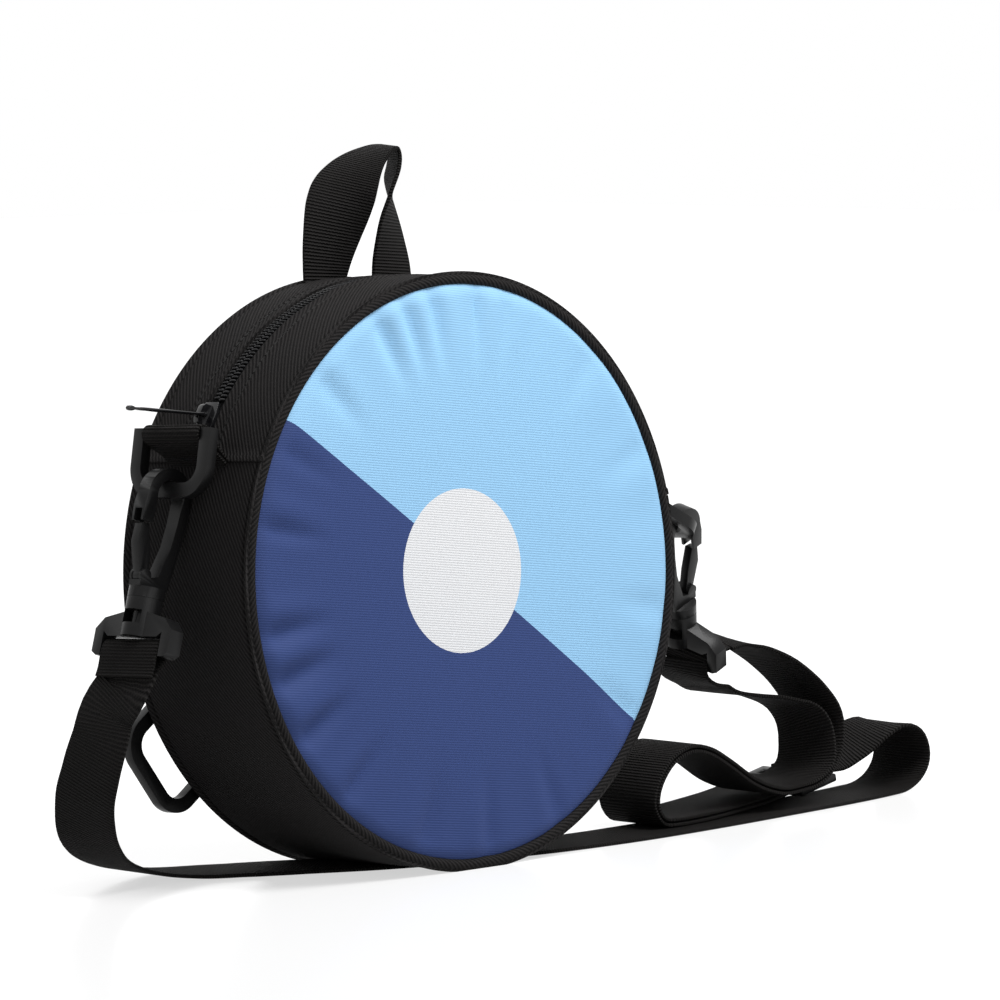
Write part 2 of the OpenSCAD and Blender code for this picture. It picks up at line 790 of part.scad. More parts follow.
// Hook body: eye, beak, spine and collar in one moulding, with the swivel pin below.
// The spine is on the +X side and the gate on the -X side.
module hook_outline() {
    difference() {
        circle(r = eye_out_r, $fn = small_fn * 2);
        circle(r = eye_r, $fn = small_fn * 2);
        translate([-eye_out_r - over, -eye_out_r - over])
            square([2 * (eye_out_r + over), eye_out_r + over]);
    }
    polygon([
        [-eye_out_r, 0], [-eye_r, 0], [-eye_r * 0.9, beak_z * 0.5],
        [-eye_r, beak_z], [-eye_out_r * 1.06, beak_z], [-eye_out_r * 1.08, beak_z * 0.4]]);
    polygon([
        [eye_r, 0], [eye_out_r, 0], [eye_out_r * 0.98, beak_z], [collar_r, collar_top_z],
        [-collar_r, collar_top_z], [-collar_r, collar_top_z + hook_bar * 0.5],
        [collar_r * 0.2, collar_top_z + hook_bar * 1.1], [eye_r * 0.8, beak_z * 1.6],
        [eye_r * 0.95, beak_z * 0.8]]);
}

module hook_body() {
    difference() {
        union() {
            rotate([90, 0, 0]) translate([0, 0, -hook_t / 2]) linear_extrude(hook_t)
                hook_outline();
            translate([0, 0, gate_pin_z]) rotate([90, 0, 0])
                translate([gate_base_x, 0, -hook_t / 2])
                    cylinder(h = hook_t, r = hook_bar * 0.6, $fn = small_fn);
        }
        translate([gate_base_x, 0, gate_pin_z]) rotate([90, 0, 0])
            translate([0, 0, -gate_t / 2 - seat_gap])
                cylinder(h = gate_t + 2 * seat_gap, r = hook_bar * 0.6 + seat_gap, $fn = small_fn);
        translate([-eye_out_r - over, -gate_t / 2 - seat_gap, gate_pin_z - seat_gap])
            cube([eye_out_r + over + gate_base_x + hook_bar, gate_t + 2 * seat_gap,
                beak_z * 0.6 - gate_pin_z]);
    }
    translate([gate_base_x, hook_t / 2 - seat_gap, gate_pin_z]) rotate([90, 0, 0])
        cylinder(h = hook_t - 2 * seat_gap, r = gate_pin_r, $fn = small_fn);
    translate([0, 0, collar_z]) cylinder(h = collar_h + seat_gap, r = collar_r, $fn = small_fn * 2);
    translate([0, 0, window_top_z - 2 * seat_gap - pin_head_h])
        cylinder(h = pin_head_h, r = pin_head_r, $fn = small_fn);
    translate([0, 0, window_top_z - 3 * seat_gap])
        cylinder(h = collar_z - window_top_z + 4 * seat_gap, r = swivel_d / 2, $fn = small_fn);
}

// Gate: a sprung tongue on the pin, its tip behind the beak
module hook_gate() {
    lean_x = gate_x - gate_base_x;
    length = beak_z - soft_gap - gate_pin_z;
    tip_out = lean_x - hook_bar * 0.4;
    tip_in = lean_x + hook_bar * 0.4;
    translate([gate_base_x, 0, gate_pin_z]) rotate([90, 0, 0])
        translate([0, 0, -gate_t / 2]) linear_extrude(gate_t)
            difference() {
                union() {
                    circle(r = hook_bar * 0.55, $fn = small_fn);
                    polygon([
                        [-hook_bar * 0.5, hook_bar * 0.2], [hook_bar * 0.5, hook_bar * 0.2],
                        [hook_bar * 0.2, length * 0.5],
                        [tip_in, sqrt(length * length - tip_in * tip_in)],
                        [tip_out, sqrt(length * length - tip_out * tip_out)],
                        [lean_x - hook_bar * 0.5, length * 0.6]]);
                }
                circle(r = gate_pin_r + run_gap, $fn = small_fn);
            }
}

// Bracket: a windowed barrel round the swivel pin, two curved arms and the strap bar
module hook_bracket() {
    bar_z = strap_bar_z;
    arm_top_z = window_top_z;
    difference() {
        union() {
            translate([0, 0, barrel_base_z])
                cylinder(h = barrel_top_z - barrel_base_z, r = barrel_r, $fn = small_fn * 2);
            translate([-bracket_t / 2, 0, 0]) rotate([90, 0, 90]) linear_extrude(bracket_t)
                difference() {
                    polygon([
                        [-barrel_r * 0.6, arm_top_z], [barrel_r * 0.6, arm_top_z],
                        [bracket_out_w * 0.4, arm_top_z - arm_w * 0.6],
                        [bracket_out_w / 2, window_base_z - arm_w * 0.4],
                        [bracket_out_w / 2, bar_z - arm_w * 0.4],
                        [bracket_out_w / 2 - arm_w * 0.5, bar_z - arm_w * 0.7],
                        [-bracket_out_w / 2 + arm_w * 0.5, bar_z - arm_w * 0.7],
                        [-bracket_out_w / 2, bar_z - arm_w * 0.4],
                        [-bracket_out_w / 2, window_base_z - arm_w * 0.4],
                        [-bracket_out_w * 0.4, arm_top_z - arm_w * 0.6]]);
                    polygon([
                        [-bracket_in_w / 2, bar_z - arm_w], [bracket_in_w / 2, bar_z - arm_w],
                        [bracket_in_w / 2, window_base_z - arm_w * 0.6],
                        [bracket_in_w * 0.42, barrel_base_z + seat_gap],
                        [-bracket_in_w * 0.42, barrel_base_z + seat_gap],
                        [-bracket_in_w / 2, window_base_z - arm_w * 0.6]]);
                }
        }
        translate([0, 0, barrel_base_z - over])
            cylinder(h = barrel_top_z - barrel_base_z + 2 * over,
                r = swivel_d / 2 + run_gap, $fn = small_fn);
        translate([0, 0, window_base_z])
            cylinder(h = barrel_window_h, r = pin_head_r + 2 * seat_gap, $fn = small_fn);
        translate([-barrel_r - over, -barrel_r * 0.7, window_base_z])
            cube([2 * (barrel_r + over), barrel_r * 1.4, barrel_window_h]);
    }
    translate([0, 0, barrel_base_z])
        cylinder(h = barrel_ring_h, r = swivel_d / 2 + over, $fn = small_fn);
    translate([0, 0, bar_z]) rotate([90, 0, 0])
        translate([0, 0, -bracket_in_w / 2 - seat_gap])
            cylinder(h = bracket_in_w + 2 * seat_gap, r = strap_bar_r, $fn = small_fn);
}

// Webbing folded round the strap bar and sewn to itself
module strap_fold(length, spread) {
    rotate([90, 0, 0]) translate([0, 0, -strap_w / 2]) linear_extrude(strap_w)
        difference() {
            union() {
                circle(r = sleeve_r, $fn = small_fn);
                polygon([
                    [-sleeve_r, 0], [sleeve_r, 0], [spread, -length], [-spread, -length]]);
            }
            circle(r = strap_bar_r + seat_gap / 2, $fn = small_fn);
        }
}

module left_hook() {
    color("black") at_left_hook() hook_body();
}

module left_hook_gate() {
    color("black") at_left_hook() hook_gate();
}

module left_hook_bracket() {
    color("black") at_left_hook() hook_bracket();
}

module left_strap_end() {
    color("black") at_left_hook() translate([0, 0, strap_bar_z])
        rotate([0, strap_end_swing, 0]) strap_fold(strap_end_l, strap_t);
}

module right_hook() {
    color("black") at_right_hook() hook_body();
}

module right_hook_gate() {
    color("black") at_right_hook() hook_gate();
}

module right_hook_bracket() {
    color("black") at_right_hook() hook_bracket();
}

module right_strap_loop() {
    color("black") at_right_hook() translate([0, 0, strap_bar_z])
        strap_fold(sleeve_r * 1.1, sleeve_r * 0.6);
}

// Both layers of the webbing where they leave the loop
module right_strap_lead() {
    color("black") at_right_hook() translate([0, 0, strap_bar_z])
        rotate([90, 0, 0]) translate([0, 0, -strap_w / 2]) linear_extrude(strap_w) {
            difference() {
                rotate(lead_outer_turn) translate([0, -sleeve_r])
                    square([lead_outer_l, strap_t]);
                circle(r = sleeve_r + seat_gap, $fn = small_fn);
            }
            rotate(lead_inner_turn) translate([sleeve_r * 1.3, -strap_t / 2])
                square([lead_inner_l, strap_t]);
        }
}

// Free stretches of the shoulder strap
module shoulder_strap() {
    color("black") level_ribbon(strap_route);
}

module strap_outer_layer() {
    color("black") level_ribbon(outer_route);
}

module strap_inner_layer() {
    route = concat(inner_lead_route,
        [for (i = [inner_start + 1:len(outer_route) - 2])
            offset_point(outer_route, i, -layer_pitch)]);
    color("black") level_ribbon(route);
}

// Three-bar slide: the strap runs over the outer bars and is sewn round the middle one
module strap_adjuster() {
    color("black") translate(adjuster_place) rotate([0, -adjuster_pitch, 0])
        translate([0, 0, -adjuster_t / 2]) linear_extrude(adjuster_t) difference() {
            square([adjuster_l, adjuster_out_w], center = true);
            for (side = [-1, 1])
                translate([side * (adjuster_bar + adjuster_slot) / 2, 0])
                    square([adjuster_slot, adjuster_in_w], center = true);
        }
}

front_panel();
front_panel_top();
front_foam();
front_foam_top();
front_piping();
front_piping_top();
back_panel();
back_foam();
back_piping();
lining_bowl();
lower_gusset();
zipper_strip_ends();
front_zipper_strip();
back_zipper_strip();
front_zipper_tape();
back_zipper_tape();
front_zipper_coil();
back_zipper_coil();
end_coil();
zipper_slider();
zipper_pull();
top_handle();
upper_left_tab();
upper_right_tab();
lower_left_tab();
lower_right_tab();
upper_left_ring();
upper_right_ring();
lower_left_ring();
lower_right_ring();
left_hook();
left_hook_gate();
left_hook_bracket();
left_strap_end();
right_hook();
right_hook_gate();
right_hook_bracket();
right_strap_loop();
right_strap_lead();
shoulder_strap();
strap_inner_layer();
strap_outer_layer();
strap_adjuster();
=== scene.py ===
import json
import math

import bmesh
import bpy
from mathutils import Matrix, Vector


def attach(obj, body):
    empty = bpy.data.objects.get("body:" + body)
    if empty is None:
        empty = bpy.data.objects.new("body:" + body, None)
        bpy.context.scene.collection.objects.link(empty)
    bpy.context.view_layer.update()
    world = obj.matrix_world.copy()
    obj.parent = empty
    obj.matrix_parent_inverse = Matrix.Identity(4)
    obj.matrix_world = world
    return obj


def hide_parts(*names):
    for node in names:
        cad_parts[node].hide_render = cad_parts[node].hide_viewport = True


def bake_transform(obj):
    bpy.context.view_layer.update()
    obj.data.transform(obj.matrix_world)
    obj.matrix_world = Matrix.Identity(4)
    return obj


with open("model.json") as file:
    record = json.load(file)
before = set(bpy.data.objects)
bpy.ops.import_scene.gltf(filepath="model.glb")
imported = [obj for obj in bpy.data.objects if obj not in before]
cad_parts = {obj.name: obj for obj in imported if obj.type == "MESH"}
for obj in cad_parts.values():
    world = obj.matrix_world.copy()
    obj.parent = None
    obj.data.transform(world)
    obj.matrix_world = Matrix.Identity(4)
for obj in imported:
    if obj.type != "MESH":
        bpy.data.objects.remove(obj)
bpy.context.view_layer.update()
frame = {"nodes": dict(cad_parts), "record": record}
nodes = frame["nodes"]
bodyOf = {n: b for b, group in frame["record"]["behaviour"]["bodies"].items() for n in group}

# Camera at the photo's angle, in radians and metres
photo = {"heading": 0.78323, "pitch": 0.07854, "roll": -0.00827,
         "place": (-1.54379, -1.60057, 0.30905), "lens": 216, "sensor": 36, "farthest": 20}


def addCamera():
    a, p, r = photo["heading"], photo["pitch"], photo["roll"]
    ahead = Vector((math.sin(a) * math.cos(p), math.cos(a) * math.cos(p), -math.sin(p)))
    side = Vector((math.cos(a), -math.sin(a), 0))
    up = side.cross(ahead)
    right = side * math.cos(r) + up * math.sin(r)
    top = up * math.cos(r) - side * math.sin(r)
    data = bpy.data.cameras.new("camera")
    data.sensor_width = photo["sensor"]
    data.lens = photo["lens"]
    data.clip_end = photo["farthest"]
    camera = bpy.data.objects.new("camera", data)
    camera.matrix_world = Matrix.Translation(photo["place"]) @ Matrix((
        (right.x, top.x, -ahead.x, 0), (right.y, top.y, -ahead.y, 0),
        (right.z, top.z, -ahead.z, 0), (0, 0, 0, 1)))
    bpy.context.scene.collection.objects.link(camera)
    bpy.context.scene.camera = camera


addCamera()
print("camera")

# The bag's own frame: axis along Y, front at -Y, in millimetres and degrees
bag = {"radius": 110, "halfDepth": 33, "lean": 3, "roll": 6.7, "rise": 107.8635,
       "stopAngle": 63, "panelEnd": 72, "zipY": 3.7}


def turnX(degrees):
    return Matrix.Rotation(math.radians(degrees), 4, "X")


def turnY(degrees):
    return Matrix.Rotation(math.radians(degrees), 4, "Y")


def turnZ(degrees):
    return Matrix.Rotation(math.radians(degrees), 4, "Z")


def shift(x, y, z):
    return Matrix.Translation((x / 1000, y / 1000, z / 1000))


def mm(x, y, z):
    return Vector((x / 1000, y / 1000, z / 1000))


stand = shift(0, 0, bag["rise"]) @ turnX(-bag["lean"]) @ turnY(bag["roll"])
flipX = Matrix.Scale(-1, 4, (1, 0, 0))


def own(x, y, z):
    return stand @ mm(x, y, z)


def atAngle(radius, y, degrees):
    t = math.radians(degrees)
    return own(radius * math.sin(t), y, radius * math.cos(t))


# Material nodes
def principled(name, color, rough, specular, coat=0.0):
    mat = bpy.data.materials.new(name)
    mat.use_nodes = True
    shader = mat.node_tree.nodes["Principled BSDF"]
    shader.inputs["Base Color"].default_value = (*color, 1)
    shader.inputs["Roughness"].default_value = rough
    shader.inputs["Specular IOR Level"].default_value = specular
    shader.inputs["Coat Weight"].default_value = coat
    return mat, mat.node_tree, shader


def mathNode(tree, kind, a, b=None):
    node = tree.nodes.new("ShaderNodeMath")
    node.operation = kind
    for i, v in enumerate((a, b)):
        if v is None:
            continue
        if isinstance(v, (int, float)):
            node.inputs[i].default_value = v
        else:
            tree.links.new(v, node.inputs[i])
    return node.outputs[0]


def scaledPlus(tree, value, scale, offset):
    # value * scale + offset
    total = mathNode(tree, "MULTIPLY_ADD", value, scale)
    if isinstance(offset, (int, float)):
        total.node.inputs[2].default_value = offset
    else:
        tree.links.new(offset, total.node.inputs[2])
    return total


def mixColors(tree, share, low, high):
    # inputs 6 and 7 and output 2 are the node's colours
    mix = tree.nodes.new("ShaderNodeMix")
    mix.data_type = "RGBA"
    tree.links.new(share, mix.inputs[0])
    for socket, color in ((6, low), (7, high)):
        if isinstance(color, tuple):
            mix.inputs[socket].default_value = (*color, 1)
        else:
            tree.links.new(color, mix.inputs[socket])
    return mix.outputs[2]


def uvParts(tree):
    uv = tree.nodes.new("ShaderNodeUVMap")
    uv.uv_map = "cloth"
    split = tree.nodes.new("ShaderNodeSeparateXYZ")
    tree.links.new(uv.outputs[0], split.inputs[0])
    return split.outputs[0], split.outputs[1]


def acrossSlant(tree, degrees):
    # distance from a line at this slant to the length of the cloth
    u, v = uvParts(tree)
    t = math.radians(degrees)
    return mathNode(tree, "ADD", mathNode(tree, "MULTIPLY", u, -math.sin(t)),
                    mathNode(tree, "MULTIPLY", v, math.cos(t)))


def ribs(tree, coordinate, pitch):
    return mathNode(tree, "SINE", mathNode(tree, "MULTIPLY", coordinate, 2 * math.pi / pitch))


def addBump(tree, shader, height, depth, strength):
    bump = tree.nodes.new("ShaderNodeBump")
    bump.inputs["Distance"].default_value = depth
    bump.inputs["Strength"].default_value = strength
    tree.links.new(height, bump.inputs["Height"])
    tree.links.new(bump.outputs[0], shader.inputs["Normal"])


def shade(tree, shader, height, dark, light):
    # a height from -1 to 1 runs from the dark colour to the light one: on ribs this paints shade
    # in the grooves and light on the crests, on grain it is random tone
    share = scaledPlus(tree, height, 0.5, 0.5)
    tree.links.new(mixColors(tree, share, dark, light), shader.inputs["Base Color"])


def speckle(tree, size):
    # fine noise from -1 to 1, on the piece's own coordinates
    place = tree.nodes.new("ShaderNodeTexCoord")
    noise = tree.nodes.new("ShaderNodeTexNoise")
    noise.inputs["Scale"].default_value = 1 / size
    noise.inputs["Detail"].default_value = 2
    tree.links.new(place.outputs["Object"], noise.inputs["Vector"])
    return mathNode(tree, "MULTIPLY", mathNode(tree, "SUBTRACT", noise.outputs["Fac"], 0.5), 2)


# Woven cloth: slanted ribs with the unevenness of yarn. Its colour is painted shade in the rib
# grooves and lighter on the crests, with random yarn tone on top. Sizes are in metres.
twillYarn = {"grain": 0.0005, "grainShare": 0.9, "depth": 0.0003, "shine": 0.07}


def twill(name, dark, light, pitch, slant, strength=0.5, rough=0.85):
    mat, tree, shader = principled(name, light, rough, twillYarn["shine"])
    height = scaledPlus(tree, speckle(tree, twillYarn["grain"]), twillYarn["grainShare"],
                        ribs(tree, acrossSlant(tree, slant), pitch))
    # painted shade: the colour darkens in the rib grooves and lightens on the crests, and the
    # yarn grain varies it at random
    shade(tree, shader, height, dark, light)
    addBump(tree, shader, height, twillYarn["depth"], strength)
    return mat


# Webbing: ribs across its length, each a little wavy, with painted shade darkening the rib
# grooves and lighter crests, and random yarn tone
webbingYarn = {"grain": 0.0006, "grainShare": 0.6, "ribShare": 0.7, "wave": 0.00006,
               "wavePitch": 1.3, "depth": 0.0005, "strength": 0.9, "shine": 0.05, "rough": 0.7}


def ribbed(name, dark, light, pitch):
    yarn = webbingYarn
    mat, tree, shader = principled(name, light, yarn["rough"], yarn["shine"])
    u, v = uvParts(tree)
    wave = ribs(tree, v, pitch * yarn["wavePitch"])
    across = ribs(tree, scaledPlus(tree, wave, yarn["wave"], u), pitch)
    height = scaledPlus(tree, speckle(tree, yarn["grain"]), yarn["grainShare"],
                        mathNode(tree, "MULTIPLY", across, yarn["ribShare"]))
    # painted shade: the colour darkens in the rib grooves and lightens on the crests, with random
    # yarn tone from the grain
    shade(tree, shader, height, dark, light)
    addBump(tree, shader, across, yarn["depth"], yarn["strength"])
    return mat


# The two blues meet on a slant, round a white patch a little left of the middle
printed = {"light": (0.34, 0.63, 0.92), "dark": (0.036, 0.064, 0.20), "white": (0.84, 0.85, 0.87),
           "slant": -28.9, "drop": -0.0015, "patchRadius": 0.0302, "patchPlace": (-0.0066, 0.0),
           "rough": 0.72, "shine": 0.25, "ribPitch": 0.0009, "ribDepth": 0.00015,
           "ribStrength": 0.3}


def printMaterial():
    mat, tree, shader = principled("panelPrint", printed["light"], printed["rough"],
                                   printed["shine"])
    above = acrossSlant(tree, printed["slant"])
    blues = mixColors(tree, mathNode(tree, "GREATER_THAN", above, printed["drop"]),
                      printed["dark"], printed["light"])
    u, v = uvParts(tree)
    du = mathNode(tree, "SUBTRACT", u, printed["patchPlace"][0])
    dv = mathNode(tree, "SUBTRACT", v, printed["patchPlace"][1])
    radius = mathNode(tree, "SQRT", mathNode(
        tree, "ADD", mathNode(tree, "MULTIPLY", du, du), mathNode(tree, "MULTIPLY", dv, dv)))
    patch = mathNode(tree, "LESS_THAN", radius, printed["patchRadius"])
    tree.links.new(mixColors(tree, patch, blues, printed["white"]), shader.inputs["Base Color"])
    addBump(tree, shader, ribs(tree, acrossSlant(tree, 0), printed["ribPitch"]),
            printed["ribDepth"], printed["ribStrength"])
    return mat


# Plastic, lacquer or thread with a faint grain
mouldedSurface = {"shine": 0.18, "strength": 0.4}


def moulded(name, dark, light, rough, grain, depth, coat=0.0):
    mat, tree, shader = principled(name, light, rough, mouldedSurface["shine"], coat)
    height = speckle(tree, grain)
    shade(tree, shader, height, dark, light)
    addBump(tree, shader, height, depth, mouldedSurface["strength"])
    return mat


materials = {
    "print": printMaterial(),
    "cloth": twill("blackTwill", (0.008, 0.0076, 0.0076), (0.031, 0.029, 0.029),
                   pitch=0.00145, slant=33),
    "piping": twill("pipingTwill", (0.008, 0.0078, 0.0078), (0.028, 0.026, 0.026),
                    pitch=0.0014, slant=-38),
    "tape": twill("zipperTape", (0.006, 0.006, 0.006), (0.02, 0.02, 0.021),
                  pitch=0.0012, slant=0),
    "lining": twill("lining", (0.10, 0.10, 0.11), (0.16, 0.16, 0.17),
                    pitch=0.0008, slant=0, strength=0.3, rough=0.9),
    "webbing": ribbed("webbing", (0.005, 0.0047, 0.0047), (0.028, 0.0262, 0.0255),
                      pitch=0.0012),
    "plastic": moulded("satinPlastic", (0.005, 0.005, 0.005), (0.009, 0.009, 0.0095),
                       rough=0.33, grain=0.0004, depth=0.00004),
    "coil": moulded("nylonCoil", (0.012, 0.012, 0.013), (0.02, 0.02, 0.022),
                    rough=0.27, grain=0.0006, depth=0.00002),
    "metal": moulded("blackLacquer", (0.006, 0.006, 0.007), (0.01, 0.01, 0.011),
                     rough=0.13, grain=0.0012, depth=0.00001, coat=0.4),
    "thread": moulded("thread", (0.006, 0.006, 0.006), (0.014, 0.0135, 0.0135),
                      rough=0.65, grain=0.0003, depth=0.0001),
}
print("materials")

# Angles between faces: drawn as a sharp edge, rounded on hard pieces, or taken as flat
edgeAngles = {"sharp": 42, "rounded": 38, "flat": 2}


def addPiece(name, bm, material, body, replaced=()):
    bmesh.ops.recalc_face_normals(bm, faces=bm.faces)
    for face in bm.faces:
        face.smooth = True
    for edge in bm.edges:
        edge.smooth = edge.calc_face_angle(0) < math.radians(edgeAngles["sharp"])
    mesh = bpy.data.meshes.new(name)
    bm.to_mesh(mesh)
    bm.free()
    mesh.materials.append(materials[material])
    obj = bpy.data.objects.new(name, mesh)
    bpy.context.scene.collection.objects.link(obj)
    if body:
        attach(obj, body)
    if replaced:
        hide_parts(*replaced)
    return obj


def addGrid(bm, rows, marks, closedAcross=False):
    # rows of points, with the cloth coordinates of each; the face that closes a row runs on
    # by one short step
    stepOn = 0.001
    layer = bm.loops.layers.uv.get("cloth") or bm.loops.layers.uv.new("cloth")
    made = [[bm.verts.new(p) for p in row] for row in rows]
    across = len(rows[0])
    for i in range(len(rows) - 1):
        for j in range(across if closedAcross else across - 1):
            j2 = (j + 1) % across
            face = bm.faces.new((made[i][j], made[i + 1][j], made[i + 1][j2], made[i][j2]))
            low = marks[i][j]
            corners = (low, marks[i + 1][j],
                       marks[i + 1][j2] if j2 else (low[0] + stepOn, low[1] + stepOn),
                       marks[i][j2] if j2 else (low[0], low[1] + stepOn))
            for loop, mark in zip(face.loops, corners):
                loop[layer].uv = mark
    return made


def capEnd(bm, ring):
    layer = bm.loops.layers.uv["cloth"]
    face = bm.faces.new(ring)
    for loop in face.loops:
        loop[layer].uv = (0, 0)


def closeTube(bm, rows):
    around = len(rows[0])
    for low, high in zip(rows, rows[1:]):
        for j in range(around):
            bm.faces.new((low[j], high[j], high[(j + 1) % around], low[(j + 1) % around]))
    bm.faces.new(rows[0][::-1])
    bm.faces.new(rows[-1])


# Webbing: stations of [point, direction of its width] on a smooth curve in short steps. Its
# cross section has points at these shares of the half width, and thinner edges.
section = {"shares": (-1, -0.97, -0.5, 0, 0.5, 0.97, 1), "edge": 0.55}


def smoothed(stations, step):
    out = []
    n = len(stations)
    for i in range(n - 1):
        p0, p1, p2, p3 = (stations[max(i - 1, 0)], stations[i], stations[i + 1],
                          stations[min(i + 2, n - 1)])
        count = max(1, round((p2[0] - p1[0]).length / step))
        for k in range(count):
            t = k / count
            out.append([0.5 * (2 * b + (c - a) * t + (2 * a - 5 * b + 4 * c - d) * t * t
                               + (3 * b - a - 3 * c + d) * t * t * t)
                        for a, b, c, d in zip(p0, p1, p2, p3)])
    out.append([stations[-1][0].copy(), stations[-1][1].copy()])
    return out


def addWebbing(bm, stations, width, thick, step=0.0025, floor=None, square=1.0):
    # square is how far the width is turned to stand square to the curve, from 0 to 1
    line = smoothed(stations, step * (1))
    shares = section["shares"]
    rows, marks, length = [], [], 0.0
    for i, (point, side) in enumerate(line):
        ahead = (line[min(i + 1, len(line) - 1)][0] - line[max(i - 1, 0)][0]).normalized()
        w = (side - ahead * (side.dot(ahead) * square)).normalized()
        n = ahead.cross(w).normalized()
        if i:
            length += (point - line[i - 1][0]).length
        row, mark = [], []
        for face in (1, -1):
            for s in (shares if face > 0 else shares[::-1]):
                half = thick / 2 * (section["edge"] if abs(s) == 1 else 1)
                p = point + w * (s * width / 2) + n * (face * half)
                if floor is not None:
                    p.z = max(p.z, floor)
                row.append(p)
                mark.append((length, s * width / 2))
        rows.append(row)
        marks.append(mark)
    made = addGrid(bm, rows, marks, closedAcross=True)
    capEnd(bm, made[0][::-1])
    capEnd(bm, made[-1])
    return [p for p, _ in line], length


# Hooks: where each tab's ring turns, and how the ring, the hook and its bar hang from there
hook = {"leftPivot": (-116.83, 0, 43.53), "rightPivot": (119.44, 0, 29.46), "ringReach": 20.5,
        "leftRing": 5, "rightRing": -70, "leftSwing": 11.2, "rightSwing": -30.5,
        "rightTilt": 22.3, "leftY": 2, "rightY": -7, "seat": 3.6812, "eye": 6, "bar": -55.81,
        "tiltReach": 3, "tiltGap": 0.9, "leftBarTurn": 11}


def hookPlace(pivot, ringSwing, y):
    t = math.radians(ringSwing)
    return shift(pivot[0] - hook["ringReach"] * math.sin(t), y,
                 pivot[2] - hook["ringReach"] * math.cos(t))


rightSeat = (hook["seat"] + hook["tiltReach"] * math.sin(math.radians(hook["rightTilt"]))
             + hook["tiltGap"])
atLeftHook = (stand @ hookPlace(hook["leftPivot"], hook["leftRing"], hook["leftY"])
              @ turnY(hook["leftSwing"]) @ shift(0, 0, hook["seat"] - hook["eye"]))
atRightHook = (stand @ hookPlace(hook["rightPivot"], hook["rightRing"], hook["rightY"])
               @ turnY(hook["rightSwing"]) @ turnX(hook["rightTilt"])
               @ shift(0, 0, rightSeat - hook["eye"]) @ flipX)
leftBar = atLeftHook @ shift(0, 0, hook["bar"]) @ turnY(hook["leftBarTurn"]) @ turnY(-90)
rightBar = atRightHook @ shift(0, 0, hook["bar"]) @ turnY(-90)

# Shoulder strap: main stretch under the bag, and the doubled part at the right. The layers
# lie a pitch apart from the station besideFrom on.
strap = {"width": 0.030, "thick": 0.0014, "pitch": 2.0, "floor": 0.00005, "besideFrom": 8,
         "turnShares": (1, 0.8, 0.5, 0.2), "leftStart": ((-9, 0, -0.9), (-15, 0, -0.3))}
mainRoute = [
    (-143.5, 5, 67), (-146.5, 6, 57), (-148, 9, 46), (-147.5, 13, 34), (-142, 18, 21.5),
    (-131, 24, 12), (-113, 29, 5.2), (-92, 29, 1.6), (-70, 22, 0.8), (-48, 11, 0.8),
    (-24, -1, 0.8), (0, -9, 0.8), (25, -13, 0.8), (55, -17, 0.8), (95, -18, 0.8),
    (140, -15, 0.8), (185, -10, 0.8), (225, -5, 0.8), (255, 0, 0.9), (268, 2, 1.6),
    (277, 3, 5), (281.5, 3, 10.5), (282, 3, 17), (279, 3.5, 23.5), (272.5, 4.5, 26.8),
    (265, 7, 24.5), (257, 11, 18.5), (249, 16, 13), (240, 19.5, 10.3), (235, 21, 9.6)]
outerRoute = [
    (176.5, 12, 69.2), (182, 11.8, 68.6), (188.5, 11, 66.4), (197, 8.5, 63), (208, 5, 56.5),
    (218, 2, 47.5), (224, -1, 37), (223.5, -3, 26), (218, -4, 16.5), (208.5, -5, 10.3),
    (196, -5, 8.3), (184, -5.5, 8.6), (169, -6, 13.5), (153, -7, 22.5), (141, -8, 28.3),
    (131, -8, 30), (121, -8, 26.6), (114, -8, 19), (112, -8, 11), (116, -8, 5.4),
    (124, -8, 4.5), (143, -5, 4.5), (165, 1, 4.7), (190, 9, 5.1), (212, 17, 6),
    (227, 20.8, 8.1)]
innerStart = [(159.3, 12.3, 61.5), (160.8, 12.6, 57.6), (164.5, 12.8, 54.2), (169, 12.9, 51.8),
              (174.3, 12.9, 50.2), (180, 12, 47.4), (190, 10, 45.4), (203, 6, 43.3),
              (214, 2, 38.5), (218.5, -1.5, 30)]
towardsFront = Vector((0, -1, 0))


def level(route):
    return [[mm(*p), towardsFront.copy()] for p in route]


def innerRoute():
    points = [Vector(p) for p in outerRoute]
    out = list(innerStart)
    for i in range(strap["besideFrom"], len(points) - 1):
        t = (points[i + 1] - points[i - 1]).normalized()
        w = (towardsFront - t * towardsFront.dot(t)).normalized()
        out.append(tuple(points[i] - w.cross(t) * strap["pitch"]))
    return out


def addStrap(name, stations, replaced, first):
    # the first stations turn from the bar's direction to the strap's own
    for station, share in zip(stations, strap["turnShares"]):
        station[1] = station[1].lerp(first, share)
    bm = bmesh.new()
    line, length = addWebbing(bm, stations, strap["width"], strap["thick"],
                              floor=strap["floor"])
    obj = addPiece(name, bm, "webbing", "root", replaced)


leftSide = leftBar.to_3x3() @ Vector((0, -1, 0))
rightSide = -(atRightHook.to_3x3() @ Vector((0, 1, 0)))
leftStart = [[leftBar @ mm(*p), leftSide.copy()] for p in strap["leftStart"]]
addStrap("shoulderStrap", leftStart + level(mainRoute), ("shoulder_strap",), leftSide)
addStrap("strapOuterLayer", level(outerRoute), ("strap_outer_layer",), rightSide)
addStrap("strapInnerLayer", level(innerRoute()), ("strap_inner_layer",), rightSide)
print("straps")

# Folds of webbing round a bar. In the fold's plane the bar is at the middle and the
# webbing leaves towards -X.
fold = {"turnSteps": 8, "step": 0.0012, "hookBarRadius": 2.75}


